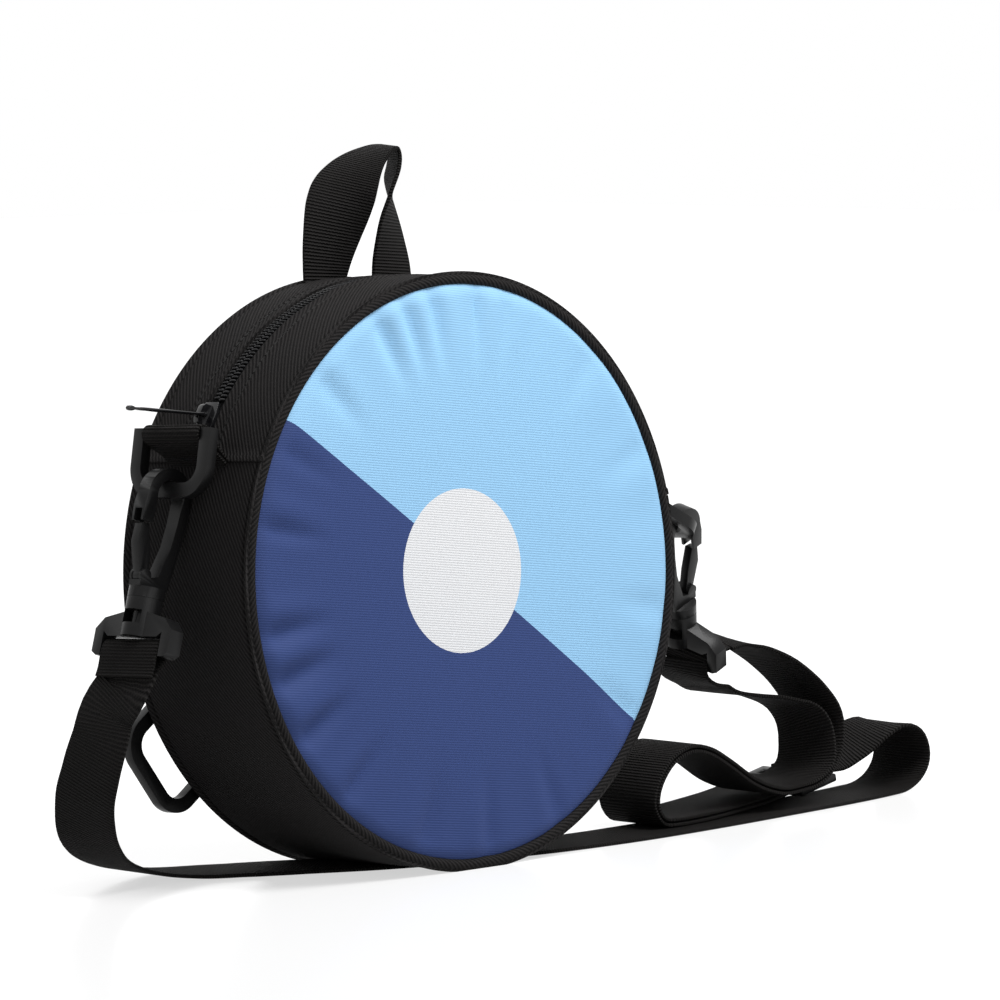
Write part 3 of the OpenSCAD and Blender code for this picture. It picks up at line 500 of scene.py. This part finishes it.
def foldPath(radius, upper, lower):
    path = [Vector((x, 0, z)) for x, z in upper]
    for k in range(fold["turnSteps"] + 1):
        t = math.radians(90 - k * 180 / fold["turnSteps"])
        path.append(Vector((radius * math.cos(t), 0, radius * math.sin(t))))
    return path + [Vector((x, 0, z)) for x, z in lower]


def addFold(name, place, path, size, body, replaced):
    side = place.to_3x3() @ Vector((0, 1, 0))
    bm = bmesh.new()
    addWebbing(bm, [[place @ (p / 1000), side.copy()] for p in path], size["width"],
               size["thick"], fold["step"])
    addPiece(name, bm, "webbing", body, replaced)


# Tabs: the angles at which the upper two leave the bag, and where the lower two sit
tab = {"barRadius": 2.85, "thick": 0.0014, "width": 0.030, "upperLength": 16,
       "lowerLength": 15.5, "lowerLift": -1.4, "leftTurn": 38, "rightTurn": 17,
       "lowerAngle": 132, "lowerY": 38.4, "lowerReach": 100}


def tabPath(length, lift):
    # two ends that lie close together at the seam and part towards the ring
    r = tab["barRadius"]
    middle, near, apart = length * 0.55, 3.2, 0.9
    return foldPath(r, [(-length, lift + 0.75), (-middle, lift * 0.6 + 1.1), (-near, r * apart)],
                    [(-near, -r * apart), (-middle, lift * 0.6 - 1.1), (-length, lift - 0.75)])


def lowerPlace(side):
    return (stand @ turnY(side * tab["lowerAngle"]) @ shift(0, tab["lowerY"], tab["lowerReach"])
            @ turnZ(90) @ turnX(180) @ turnY(90))


upperPath = tabPath(tab["upperLength"], 0)
lowerPath = tabPath(tab["lowerLength"], tab["lowerLift"])
addFold("upperLeftTab", stand @ shift(*hook["leftPivot"]) @ turnY(tab["leftTurn"]) @ flipX,
        upperPath, tab, "root", ("upper_left_tab",))
addFold("upperRightTab", stand @ shift(*hook["rightPivot"]) @ turnY(tab["rightTurn"]),
        upperPath, tab, "root", ("upper_right_tab",))
addFold("lowerLeftTab", lowerPlace(-1), lowerPath, tab, "root", ("lower_left_tab",))
addFold("lowerRightTab", lowerPlace(1), lowerPath, tab, "root", ("lower_right_tab",))
addFold("leftStrapEnd", leftBar,
        foldPath(fold["hookBarRadius"], [(-11.5, 1.2), (-8, 1.4), (-3.4, 2.4)],
                 [(-3.4, -2.4), (-7, -1.3), (-9.5, -0.9)]),
        strap, "left_bracket", ("left_strap_end",))
addFold("rightStrapLoop", rightBar,
        foldPath(fold["hookBarRadius"], [(-1.9, 13.3), (-0.6, 9.0), (1.2, 4.6)],
                 [(-2.2, -2.6), (-4.5, -2.3)]),
        strap, "right_bracket", ("right_strap_loop", "right_strap_lead"))
print("folds")

# Top handle: the middle of the webbing, and the direction of its width.
handle = {"width": 0.025, "thick": 0.0016, "step": 0.0018, "square": 0.1,
          "bendFrom": (0, 30, 109.5), "bendTo": (0, 30, 116)}
handleRoute = [
    (-18.1, 31, 107, 0.98, 0.17, 0.10), (-18.3, 29.6, 117, 1, 0, 0),
    (-17.2, 28.4, 127, 0.97, -0.24, -0.08), (-15.4, 27.6, 136, 0.82, -0.55, -0.16),
    (-11.9, 28, 143.9, 0.49, -0.85, -0.20), (-7, 29.2, 149.7, 0.17, -0.96, -0.22),
    (-1.2, 30.5, 154.3, -0.10, -0.97, -0.22), (4.8, 31.5, 158.1, -0.28, -0.95, -0.16),
    (10.6, 32.2, 160.6, -0.43, -0.90, -0.13), (15.2, 32.6, 161, -0.53, -0.84, -0.11),
    (17.2, 32.6, 158.6, -0.56, -0.82, -0.11), (16.8, 32.4, 154.6, -0.55, -0.83, -0.08),
    (15.5, 32.1, 150.2, -0.55, -0.83, -0.05), (14.8, 31.7, 145.4, -0.63, -0.77, -0.04),
    (14.6, 31.3, 140, -0.74, -0.67, -0.04), (14.4, 31, 133.5, -0.85, -0.53, -0.05),
    (14.8, 30.8, 126, -0.92, -0.39, -0.07), (15.8, 30.8, 117, -0.97, -0.24, -0.05),
    (17.2, 31.2, 107, -0.98, -0.18, -0.06)]


def addHandle():
    stations = []
    for x, y, z, wx, wy, wz in handleRoute:
        stations.append([own(x, y, z), stand.to_3x3() @ Vector((wx, wy, wz))])
    bm = bmesh.new()
    addWebbing(bm, stations, handle["width"], handle["thick"], handle["step"],
               square=handle["square"])
    obj = addPiece("topHandle", bm, "webbing", None, ("top_handle",))
    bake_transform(obj)


addHandle()
print("handle")

# The mouth lies along the line between the slider's two stops, where the lining is cut; the front
# pieces are only fixed in place, not bent
mouth = {"z": 55.89, "y": -35, "halfBend": 6}


def bendMouth(obj):
    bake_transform(obj)


def cutAtMouth(bm, keep):
    plane = own(0, 0, mouth["z"])
    normal = stand.to_3x3() @ Vector((0, 0, 1))
    bmesh.ops.bisect_plane(bm, geom=bm.verts[:] + bm.edges[:] + bm.faces[:], plane_co=plane,
                           plane_no=normal, clear_outer=keep == "below",
                           clear_inner=keep == "above")


# Slow, middle and fine waves round the body, each of [waves, start, share]
creaseWaves = {"slow": (9, 1.3, 0.5), "middle": (17, 0.7, 0.3), "fine": (31, 2.1, 0.2)}


def creases(degrees):
    t = math.radians(degrees)
    slow, middle, fine = (creaseWaves[k] for k in ("slow", "middle", "fine"))
    return (math.sin(slow[0] * t + slow[1] * math.sin(2 * t)) * slow[2]
            + math.sin(middle[0] * t + middle[1]) * middle[2]
            + math.sin(fine[0] * t + fine[1]) * fine[2])


# Bands of cloth round the body: step in degrees, the turned edge of a strip, and the place in
# metres where the foot is raised over the strap
band = {"step": 1.5, "hemSteps": (0.1, 1.0), "hemReach": 1.05, "hemEdge": 0.45,
        "footHalf": 0.0367, "footFront": -0.0318, "footBack": 0.0202, "footRise": 0.0019}


def bandAngles(a0, a1, hem):
    count = max(4, round((a1 - a0) / band["step"]))
    angles = [a0 + (a1 - a0) * i / count for i in range(count + 1)]
    if hem:
        near, far = band["hemSteps"]
        angles = sorted(angles[1:-1] + [a0, a0 + near, a0 + far, a1 - far, a1 - near, a1])
    return angles


def liftOffFloor(p, radius):
    raised = abs(p.x) < band["footHalf"] and band["footFront"] < p.y < band["footBack"]
    low = band["footRise"] if raised else 0.0
    p.z = max(p.z, low + (bag["radius"] - min(radius, bag["radius"])) / 1000)


def turnedBand(name, profile, a0, a1, material, body, replaced, ripple=0.0, foot=False,
               hem=0.0):
    # profile is a loop of [radius, y]
    rows, marks = [], []
    for a in bandAngles(a0, a1, hem):
        turnedUp = 0.0
        if a in (a0, a1):
            turnedUp = hem * band["hemEdge"]
        elif min(a - a0, a1 - a) < band["hemReach"]:
            turnedUp = hem
        row, mark, run = [], [], 0.0
        for k, (r, y) in enumerate(profile):
            mid = 1 - (y / bag["halfDepth"]) ** 2
            p = atAngle(r + turnedUp + ripple * creases(a) * mid, y, a)
            if foot:
                liftOffFloor(p, r)
            row.append(p)
            if k:
                run += math.hypot(r - profile[k - 1][0], y - profile[k - 1][1]) / 1000
            mark.append((math.radians(a) * bag["radius"] / 1000, run))
        rows.append(row)
        marks.append(mark)
    bm = bmesh.new()
    made = addGrid(bm, rows, marks, closedAcross=True)
    if a1 - a0 < 359:
        capEnd(bm, made[0][::-1])
        capEnd(bm, made[-1])
    obj = addPiece(name, bm, material, body, replaced)
    if not body:
        bendMouth(obj)


def wall(y0, y1, thick=1.4, steps=8, radius=bag["radius"], lip=0.0, ridges=()):
    # a flat band, raised at the seams by its lip and along it by ridges of [y, height, half
    # width]
    lipWidth = 2.2
    places = {round(y0 + (y1 - y0) * k / steps, 3) for k in range(steps + 1)}
    for y, _, half in ridges:
        places |= {round(y + half * share, 3) for share in (-2, -1, -0.5, 0, 0.5, 1, 2)}
    outer = []
    for y in sorted(p for p in places if y0 <= p <= y1):
        rise = lip * max(0.0, 1 - (bag["halfDepth"] - abs(y)) / lipWidth)
        rise += sum(h * math.exp(-((y - at) / half) ** 2) for at, h, half in ridges)
        outer.append([radius + rise, y])
    return outer + [[radius - thick, p[1]] for p in outer[::-1]]


# Round panels: two layers with a crown, a rolled rim and puckers. The puckers start at the
# share foldFrom of the radius, are full at foldFull and flatten from foldEnd to the rim.
panel = {"radius": 105.9, "crown": 3.0, "backCrown": 2.2, "crownPower": 2.6, "inset": 0.4,
         "roll": 1.6, "rollFrom": 0.955, "thick": 1.4, "wave": 0.35, "rings": 34, "spokes": 300,
         "ringPower": 0.75, "foldFrom": 0.66, "foldFull": 0.93, "foldEnd": 0.94,
         "foldLoss": 0.8, "swell": 0.35, "swellTurn": 5, "swellWidth": 1.3, "lowest": 0.0034,
         "fill": 0.8}
# Puckers at the seam: angle, half width in degrees, depth in millimetres
puckers = [(330, 2.2, 2.4), (338, 2.0, 2.6), (346, 2.0, 2.4), (359, 1.4, 1.8), (8, 2, 0.8),
           (276, 2, 1.7), (254, 2.4, 2.6), (244, 2.6, 3.2), (231, 2.8, 3.2), (214, 2.5, 1.8),
           (190, 3, 1.4), (171, 2.5, 1.6), (150, 2.5, 1.3), (120, 3, 0.9), (95, 3, 0.7),
           (60, 3, 0.7), (35, 3, 0.8), (310, 2.5, 1.3), (292, 2, 0.9)]


def ramp(x, low, high):
    t = min(1.0, max(0.0, (x - low) / (high - low)))
    return t * t * (3 - 2 * t)


def bell(degrees, middle, half):
    return math.exp(-((((degrees - middle + 180) % 360) - 180) / half) ** 2)


def panelHeight(s, a, crown):
    # s is the share of the radius, a the angle
    roll = panel["roll"]
    if s > panel["rollFrom"]:
        t = (s - panel["rollFrom"]) / (1 - panel["rollFrom"])
        roll *= math.sqrt(max(0.0, 1 - t ** 2))
    folds = sum(depth * bell(a, at, half) for at, half, depth in puckers)
    swell = sum(panel["swell"] * depth * bell(a, at + panel["swellTurn"],
                                              panel["swellWidth"] * half)
                for at, half, depth in puckers)
    window = (ramp(s, panel["foldFrom"], panel["foldFull"])
              * (1 - panel["foldLoss"] * ramp(s, panel["foldEnd"], 1)))
    return (crown * (1 - s ** panel["crownPower"]) + roll
            + (swell - folds + panel["wave"] * creases(a)) * window)


def addPanel(name, front, body, replaced):
    crown = panel["crown"] if front else panel["backCrown"]
    rings = panel["rings"] // 1
    spokes = panel["spokes"] // 1
    levels = [(k / rings, 0) for k in range(rings + 1)]
    levels += [(k / rings, panel["thick"]) for k in range(rings, -1, -1)]
    bm = bmesh.new()
    layer = bm.loops.layers.uv.new("cloth")
    made = []
    for share, inset in levels:
        s = share ** panel["ringPower"]
        row = []
        for k in range(spokes):
            a = 360 * k / spokes
            y = bag["halfDepth"] - panel["inset"] + panelHeight(s, a, crown) - inset
            p = atAngle(panel["radius"] * s, -y if front else y, a)
            p.z = max(p.z, panel["lowest"])
            row.append(bm.verts.new(p))
        made.append(row)
    for i, (low, high) in enumerate(zip(made, made[1:])):
        for k in range(spokes):
            k2 = (k + 1) % spokes
            face = bm.faces.new((low[k], high[k], high[k2], low[k2]))
            face.material_index = 1 if i > rings else 0  # the inner face is lined
    bmesh.ops.remove_doubles(bm, verts=made[0] + made[-1], dist=0.00001)
    back = stand.inverted()
    for face in bm.faces:
        for loop in face.loops:
            p = back @ loop.vert.co
            loop[layer].uv = (p.x, p.z)
    obj = addPiece(name, bm, "print" if front else "cloth", body, replaced)
    obj.data.materials.append(materials["lining"])
    if not body:
        bendMouth(obj)


addPanel("frontPanel", True, None,
         ("front_panel", "front_foam", "front_panel_top", "front_foam_top"))
addPanel("backPanel", False, "root", ("back_panel", "back_foam"))
print("panels")

# Piping: the back one stops at the flat foot
piping = {"radius": 2.0, "ringRadius": 107.7, "y": 32.0, "sides": 14, "backEnd": 160}


def pipingLoop(side):
    out = []
    for k in range(piping["sides"]):
        t = 2 * math.pi * k / piping["sides"]
        out.append([piping["ringRadius"] + piping["radius"] * math.cos(t),
                    side * piping["y"] + piping["radius"] * math.sin(t)])
    return out


turnedBand("frontPiping", pipingLoop(-1), -180, 180, "piping", None,
           ("front_piping", "front_piping_top"), foot=True)
turnedBand("backPiping", pipingLoop(1), -piping["backEnd"] - bag["roll"],
           piping["backEnd"] - bag["roll"], "piping", "root", ("back_piping",))

# Each seam has a groove beside its piping. The strips have a folded edge, then the hollow and
# the ridge of their stitching.
strips = {"front": (-33, -1.0), "back": (8.4, 33), "hem": 0.6, "lip": 0.6, "ripple": 0.12,
          "gussetSteps": 16, "gussetRipple": 0.5,
          "frontGroove": (-30.4, -0.8, 0.45), "backGroove": (30.4, -0.8, 0.45),
          "frontRidges": ((-1.6, 0.5, 0.9), (-6.6, -0.35, 0.5), (-7.9, 0.35, 0.8)),
          "backRidges": ((9.0, 0.5, 0.9), (13.8, -0.35, 0.5), (15.0, 0.35, 0.8))}
tapes = {"front": (-9.3, 3.1), "back": (4.3, 17.3), "thick": 0.6, "steps": 6, "radius": 108.6}
stripEnd = 71.9


def addStrip(name, side, body, replaced):
    ridges = strips[side + "Ridges"] + (strips[side + "Groove"],)
    turnedBand(name, wall(*strips[side], lip=strips["lip"], ridges=ridges), -stripEnd, stripEnd,
               "cloth", body, replaced, strips["ripple"], hem=strips["hem"])


def addTape(name, side, body, replaced):
    turnedBand(name, wall(*tapes[side], tapes["thick"], tapes["steps"], tapes["radius"]),
               -stripEnd, stripEnd, "tape", body, replaced)


turnedBand("lowerGusset",
           wall(-bag["halfDepth"], bag["halfDepth"], lip=strips["lip"],
                steps=strips["gussetSteps"],
                ridges=(strips["frontGroove"], strips["backGroove"])),
           bag["panelEnd"], 360 - bag["panelEnd"], "cloth", "root",
           ("lower_gusset",), strips["gussetRipple"], foot=True)
addStrip("frontZipperStrip", "front", None, ("front_zipper_strip", "zipper_strip_ends"))
addStrip("backZipperStrip", "back", "root", ("back_zipper_strip",))
addTape("frontZipperTape", "front", None, ("front_zipper_tape",))
addTape("backZipperTape", "back", "root", ("back_zipper_tape",))

# Stitches sit in the hollows beside the zipper
stitch = {"pitch": 2.9, "length": 2.2, "radius": 0.28, "lift": 109.85, "reach": 71,
          "frontY": -6.6, "backY": 13.8}


def addStitches(name, y, body):
    bm = bmesh.new()
    stepAngle = math.degrees(stitch["pitch"] / bag["radius"])
    for i in range(int(2 * stitch["reach"] / stepAngle)):
        a = -stitch["reach"] + i * stepAngle
        bmesh.ops.create_cone(bm, cap_ends=True, segments=6, radius1=stitch["radius"] / 1000,
                              radius2=stitch["radius"] / 1000, depth=stitch["length"] / 1000,
                              matrix=stand @ turnY(a) @ shift(0, y, stitch["lift"]) @ turnY(90))
    obj = addPiece(name, bm, "thread", body)
    if not body:
        bendMouth(obj)


addStitches("frontStitching", stitch["frontY"], None)
addStitches("backStitching", stitch["backY"], "root")
print("body")

# Coil: each turn is a bowed bar with a thicker head towards the middle. The coils part up to
# openTo degrees, and stay closed in the spans beyond the stops.
coil = {"pitch": 1.75, "width": 3.2, "radius": 0.62, "lift": 109.35, "gap": 0.05, "bow": 0.25,
        "head": 1.12, "headShare": 0.3, "bar": 0.9, "tip": 0.75, "flat": 0.85, "sides": 8,
        "openTo": 58.3, "endSpans": [(-71.5, -66.8), (66.8, 71.5)]}


def addCoil(name, side, spans, body, replaced):
    bm = bmesh.new()
    stepAngle = math.degrees(coil["pitch"] / bag["radius"])
    sections = 5
    for a0, a1 in spans:
        for i in range(int((a1 - a0) / stepAngle)):
            a = a0 + (i + (0.5 if side > 0 else 0)) * stepAngle
            rows = []
            for k in range(sections + 1):
                t = k / sections
                y = bag["zipY"] + side * (coil["gap"] + coil["width"] * t)
                r = (coil["radius"] * (coil["head"] if t < coil["headShare"] else coil["bar"])
                     * (coil["tip"] if k in (0, sections) else 1))
                lift = coil["lift"] + coil["bow"] * math.sin(math.pi * t)
                row = []
                for j in range(coil["sides"]):
                    v = 2 * math.pi * j / coil["sides"]
                    spin = math.degrees(r * coil["flat"] * math.cos(v) / bag["radius"])
                    row.append(bm.verts.new(atAngle(lift + r * math.sin(v), y, a + spin)))
                rows.append(row)
            closeTube(bm, rows)
    addPiece(name, bm, "coil", body, replaced)


openSpan = [(-coil["openTo"], coil["openTo"])]
addCoil("frontZipperCoil", -1, openSpan, "mouth_flap", ("front_zipper_coil",))
addCoil("backZipperCoil", 1, openSpan, "root", ("back_zipper_coil",))
addCoil("endCoilFront", -1, coil["endSpans"], "root", ("end_coil",))
addCoil("endCoilBack", 1, coil["endSpans"], "root", ())
print("zipper")

# Lining inside: a tube with two ends, open where the mouth opens
lining = {"radius": 107.4, "endY": 28, "discY": 27.7, "mouthY": 16.8, "lowest": 0.0036,
          "tubeSteps": 144, "tubeRows": 4, "discSteps": 72, "discRings": 8}


def joinInto(bm, part):
    mesh = bpy.data.meshes.new("part")
    part.to_mesh(mesh)
    part.free()
    bm.from_mesh(mesh)
    bpy.data.meshes.remove(mesh)


def addLiningPart(bm, rows, marks, keep):
    for row in rows:
        for p in row:
            p.z = max(p.z, lining["lowest"])
    part = bmesh.new()
    addGrid(part, rows, marks)
    if keep:
        cutAtMouth(part, keep)
    joinInto(bm, part)


def addLining():
    bm = bmesh.new()
    radius, steps, across = lining["radius"], lining["tubeSteps"], lining["tubeRows"]
    for y0, y1, keep in ((-lining["endY"], lining["mouthY"], "below"),
                         (lining["mouthY"], lining["endY"], None)):
        rows, marks = [], []
        for i in range(steps + 1):
            a = 360 * i / steps
            places = [(y1 - y0) * k / across for k in range(across + 1)]
            rows.append([atAngle(radius, y0 + place, a) for place in places])
            marks.append([(math.radians(a) * 0.107, place / 1000) for place in places])
        addLiningPart(bm, rows, marks, keep)
    steps, across = lining["discSteps"], lining["discRings"]
    for y, keep in ((-lining["discY"], "below"), (lining["discY"], None)):
        rows = [[atAngle(radius * s / across, y, 360 * k / steps) for s in range(across + 1)]
                for k in range(steps + 1)]
        marks = [[(0.001 * k, 0.013 * s) for s in range(across + 1)] for k in range(steps + 1)]
        addLiningPart(bm, rows, marks, keep)
    bmesh.ops.remove_doubles(bm, verts=bm.verts, dist=0.00002)
    addPiece("lining", bm, "lining", "root", ("lining_bowl",))


addLining()
print("lining")

# Hard pieces take their CAD shape, with every edge rounded: name, material, rounding
hard = {
    "upper_left_ring": ("upperLeftRing", "plastic", 0.9),
    "upper_right_ring": ("upperRightRing", "plastic", 0.9),
    "lower_left_ring": ("lowerLeftRing", "plastic", 0.9),
    "lower_right_ring": ("lowerRightRing", "plastic", 0.9),
    "left_hook": ("leftHook", "plastic", 0.5),
    "right_hook": ("rightHook", "plastic", 0.5),
    "left_hook_gate": ("leftHookGate", "plastic", 0.4),
    "right_hook_gate": ("rightHookGate", "plastic", 0.4),
    "left_hook_bracket": ("leftHookBracket", "plastic", 0.6),
    "right_hook_bracket": ("rightHookBracket", "plastic", 0.6),
    "strap_adjuster": ("strapAdjuster", "plastic", 0.7),
    "zipper_slider": ("zipperSlider", "metal", 0.3)}


def addHard(node, name, material, width):
    bm = bmesh.new()
    bm.from_mesh(nodes[node].data)
    bmesh.ops.remove_doubles(bm, verts=bm.verts, dist=0.000002)
    bmesh.ops.dissolve_limit(bm, angle_limit=math.radians(edgeAngles["flat"]), verts=bm.verts,
                             edges=bm.edges)
    rounded = math.radians(edgeAngles["rounded"])
    edges = [e for e in bm.edges if e.is_manifold and e.calc_face_angle(0) > rounded]
    bmesh.ops.bevel(bm, geom=edges, offset=width / 1000, offset_type="OFFSET", segments=3,
                    profile=0.5, affect="EDGES", material=-1, clamp_overlap=True)
    addPiece(name, bm, material, bodyOf[node], (node,))


for node, (name, material, width) in hard.items():
    addHard(node, name, material, width)

# Pull: an eye on the slider's bridge, a thin bar and a small knob at its tip
pull = {"thick": 1.15, "width": 4.6, "knob": 1.0, "pin": 114.1, "rest": 63, "sides": 20,
        "wideCorner": 0.45, "thickCorner": 0.6}


def addPull():
    # stations of [distance from the pin, half thickness, half width]
    t, w, knob = pull["thick"] / 2, pull["width"] / 2, pull["knob"]
    outline = [(-1.5, 0.35, w * 0.75), (-1.2, 0.75, w * 0.9), (0, 0.95, w), (1.6, 0.75, w),
               (4, t * 0.95, w), (14, t, w), (26, t * 1.15, w), (30, t * 1.1, w * 0.92),
               (31.6, t * 0.9, w * 0.7), (32.6, t * 0.85, w * 0.55),
               (33.3, knob * 0.85, w * 0.5), (34.2, knob, w * 0.5),
               (35.2, knob * 0.85, w * 0.45), (35.8, 0.35, w * 0.25)]
    place = (stand @ turnY(-bag["stopAngle"]) @ shift(0, bag["zipY"], pull["pin"])
             @ turnY(pull["rest"]))
    bm = bmesh.new()
    rows = []
    for x, half, wide in outline:
        row = []
        for k in range(pull["sides"]):
            v = 2 * math.pi * k / pull["sides"]
            c, s = math.cos(v), math.sin(v)
            row.append(bm.verts.new(place @ mm(
                -x, wide * math.copysign(abs(c) ** pull["wideCorner"], c),
                half * math.copysign(abs(s) ** pull["thickCorner"], s))))
        rows.append(row)
    closeTube(bm, rows)
    addPiece("zipperPull", bm, "metal", "pull", ("zipper_pull",))


addPull()
print("hardware")

# White floor and soft light. The floor is lifted to white only where it is seen.
stageSet = {"floor": (0.5, 0.5, 0.5), "floorSize": 6, "floorRough": 0.2, "floorShine": 0.12,
            "floorLift": 0.6, "world": 0.25, "aim": (0, 0, 0.1)}
lamps = {"keyLight": {"place": (0.35, -0.75, 1.65), "power": 31, "size": 0.9},
         "fillLight": {"place": (-0.5, -1.6, 0.7), "power": 4, "size": 1.0}}


def addFloor():
    bm = bmesh.new()
    bmesh.ops.create_grid(bm, x_segments=1, y_segments=1, size=stageSet["floorSize"])
    mesh = bpy.data.meshes.new("floor")
    bm.to_mesh(mesh)
    bm.free()
    floor = bpy.data.objects.new("floor", mesh)
    mat, tree, shader = principled("floorWhite", stageSet["floor"], stageSet["floorRough"],
                                   stageSet["floorShine"])
    seen = tree.nodes.new("ShaderNodeLightPath")
    shader.inputs["Emission Color"].default_value = (1, 1, 1, 1)
    direct = mathNode(tree, "MAXIMUM", seen.outputs["Is Camera Ray"],
                      seen.outputs["Is Glossy Ray"])
    tree.links.new(mathNode(tree, "MULTIPLY", direct, stageSet["floorLift"]),
                   shader.inputs["Emission Strength"])
    mesh.materials.append(mat)
    bpy.context.scene.collection.objects.link(floor)
    return floor


def addLamp(name, values):
    data = bpy.data.lights.new(name, "AREA")
    data.energy = values["power"]
    data.size = values["size"]
    lamp = bpy.data.objects.new(name, data)
    lamp.location = values["place"]
    towards = Vector(stageSet["aim"]) - Vector(values["place"])
    lamp.rotation_euler = towards.to_track_quat("-Z", "Y").to_euler()
    bpy.context.scene.collection.objects.link(lamp)
    return lamp


def addWorld():
    world = bpy.data.worlds.new("world")
    bpy.context.scene.world = world
    world.use_nodes = True
    tree = world.node_tree
    background = tree.nodes["Background"]
    background.inputs[0].default_value = (1, 1, 1, 1)
    seen = tree.nodes.new("ShaderNodeLightPath")
    direct = mathNode(tree, "MAXIMUM", seen.outputs["Is Camera Ray"],
                      mathNode(tree, "MAXIMUM", seen.outputs["Is Glossy Ray"],
                               seen.outputs["Is Transmission Ray"]))
    strength = scaledPlus(tree, direct, 1 - stageSet["world"], stageSet["world"])
    tree.links.new(strength, background.inputs[1])


made = [addFloor()] + [addLamp(name, values) for name, values in lamps.items()]
addWorld()
bpy.context.scene.view_settings.view_transform = "Standard"
print("finish")
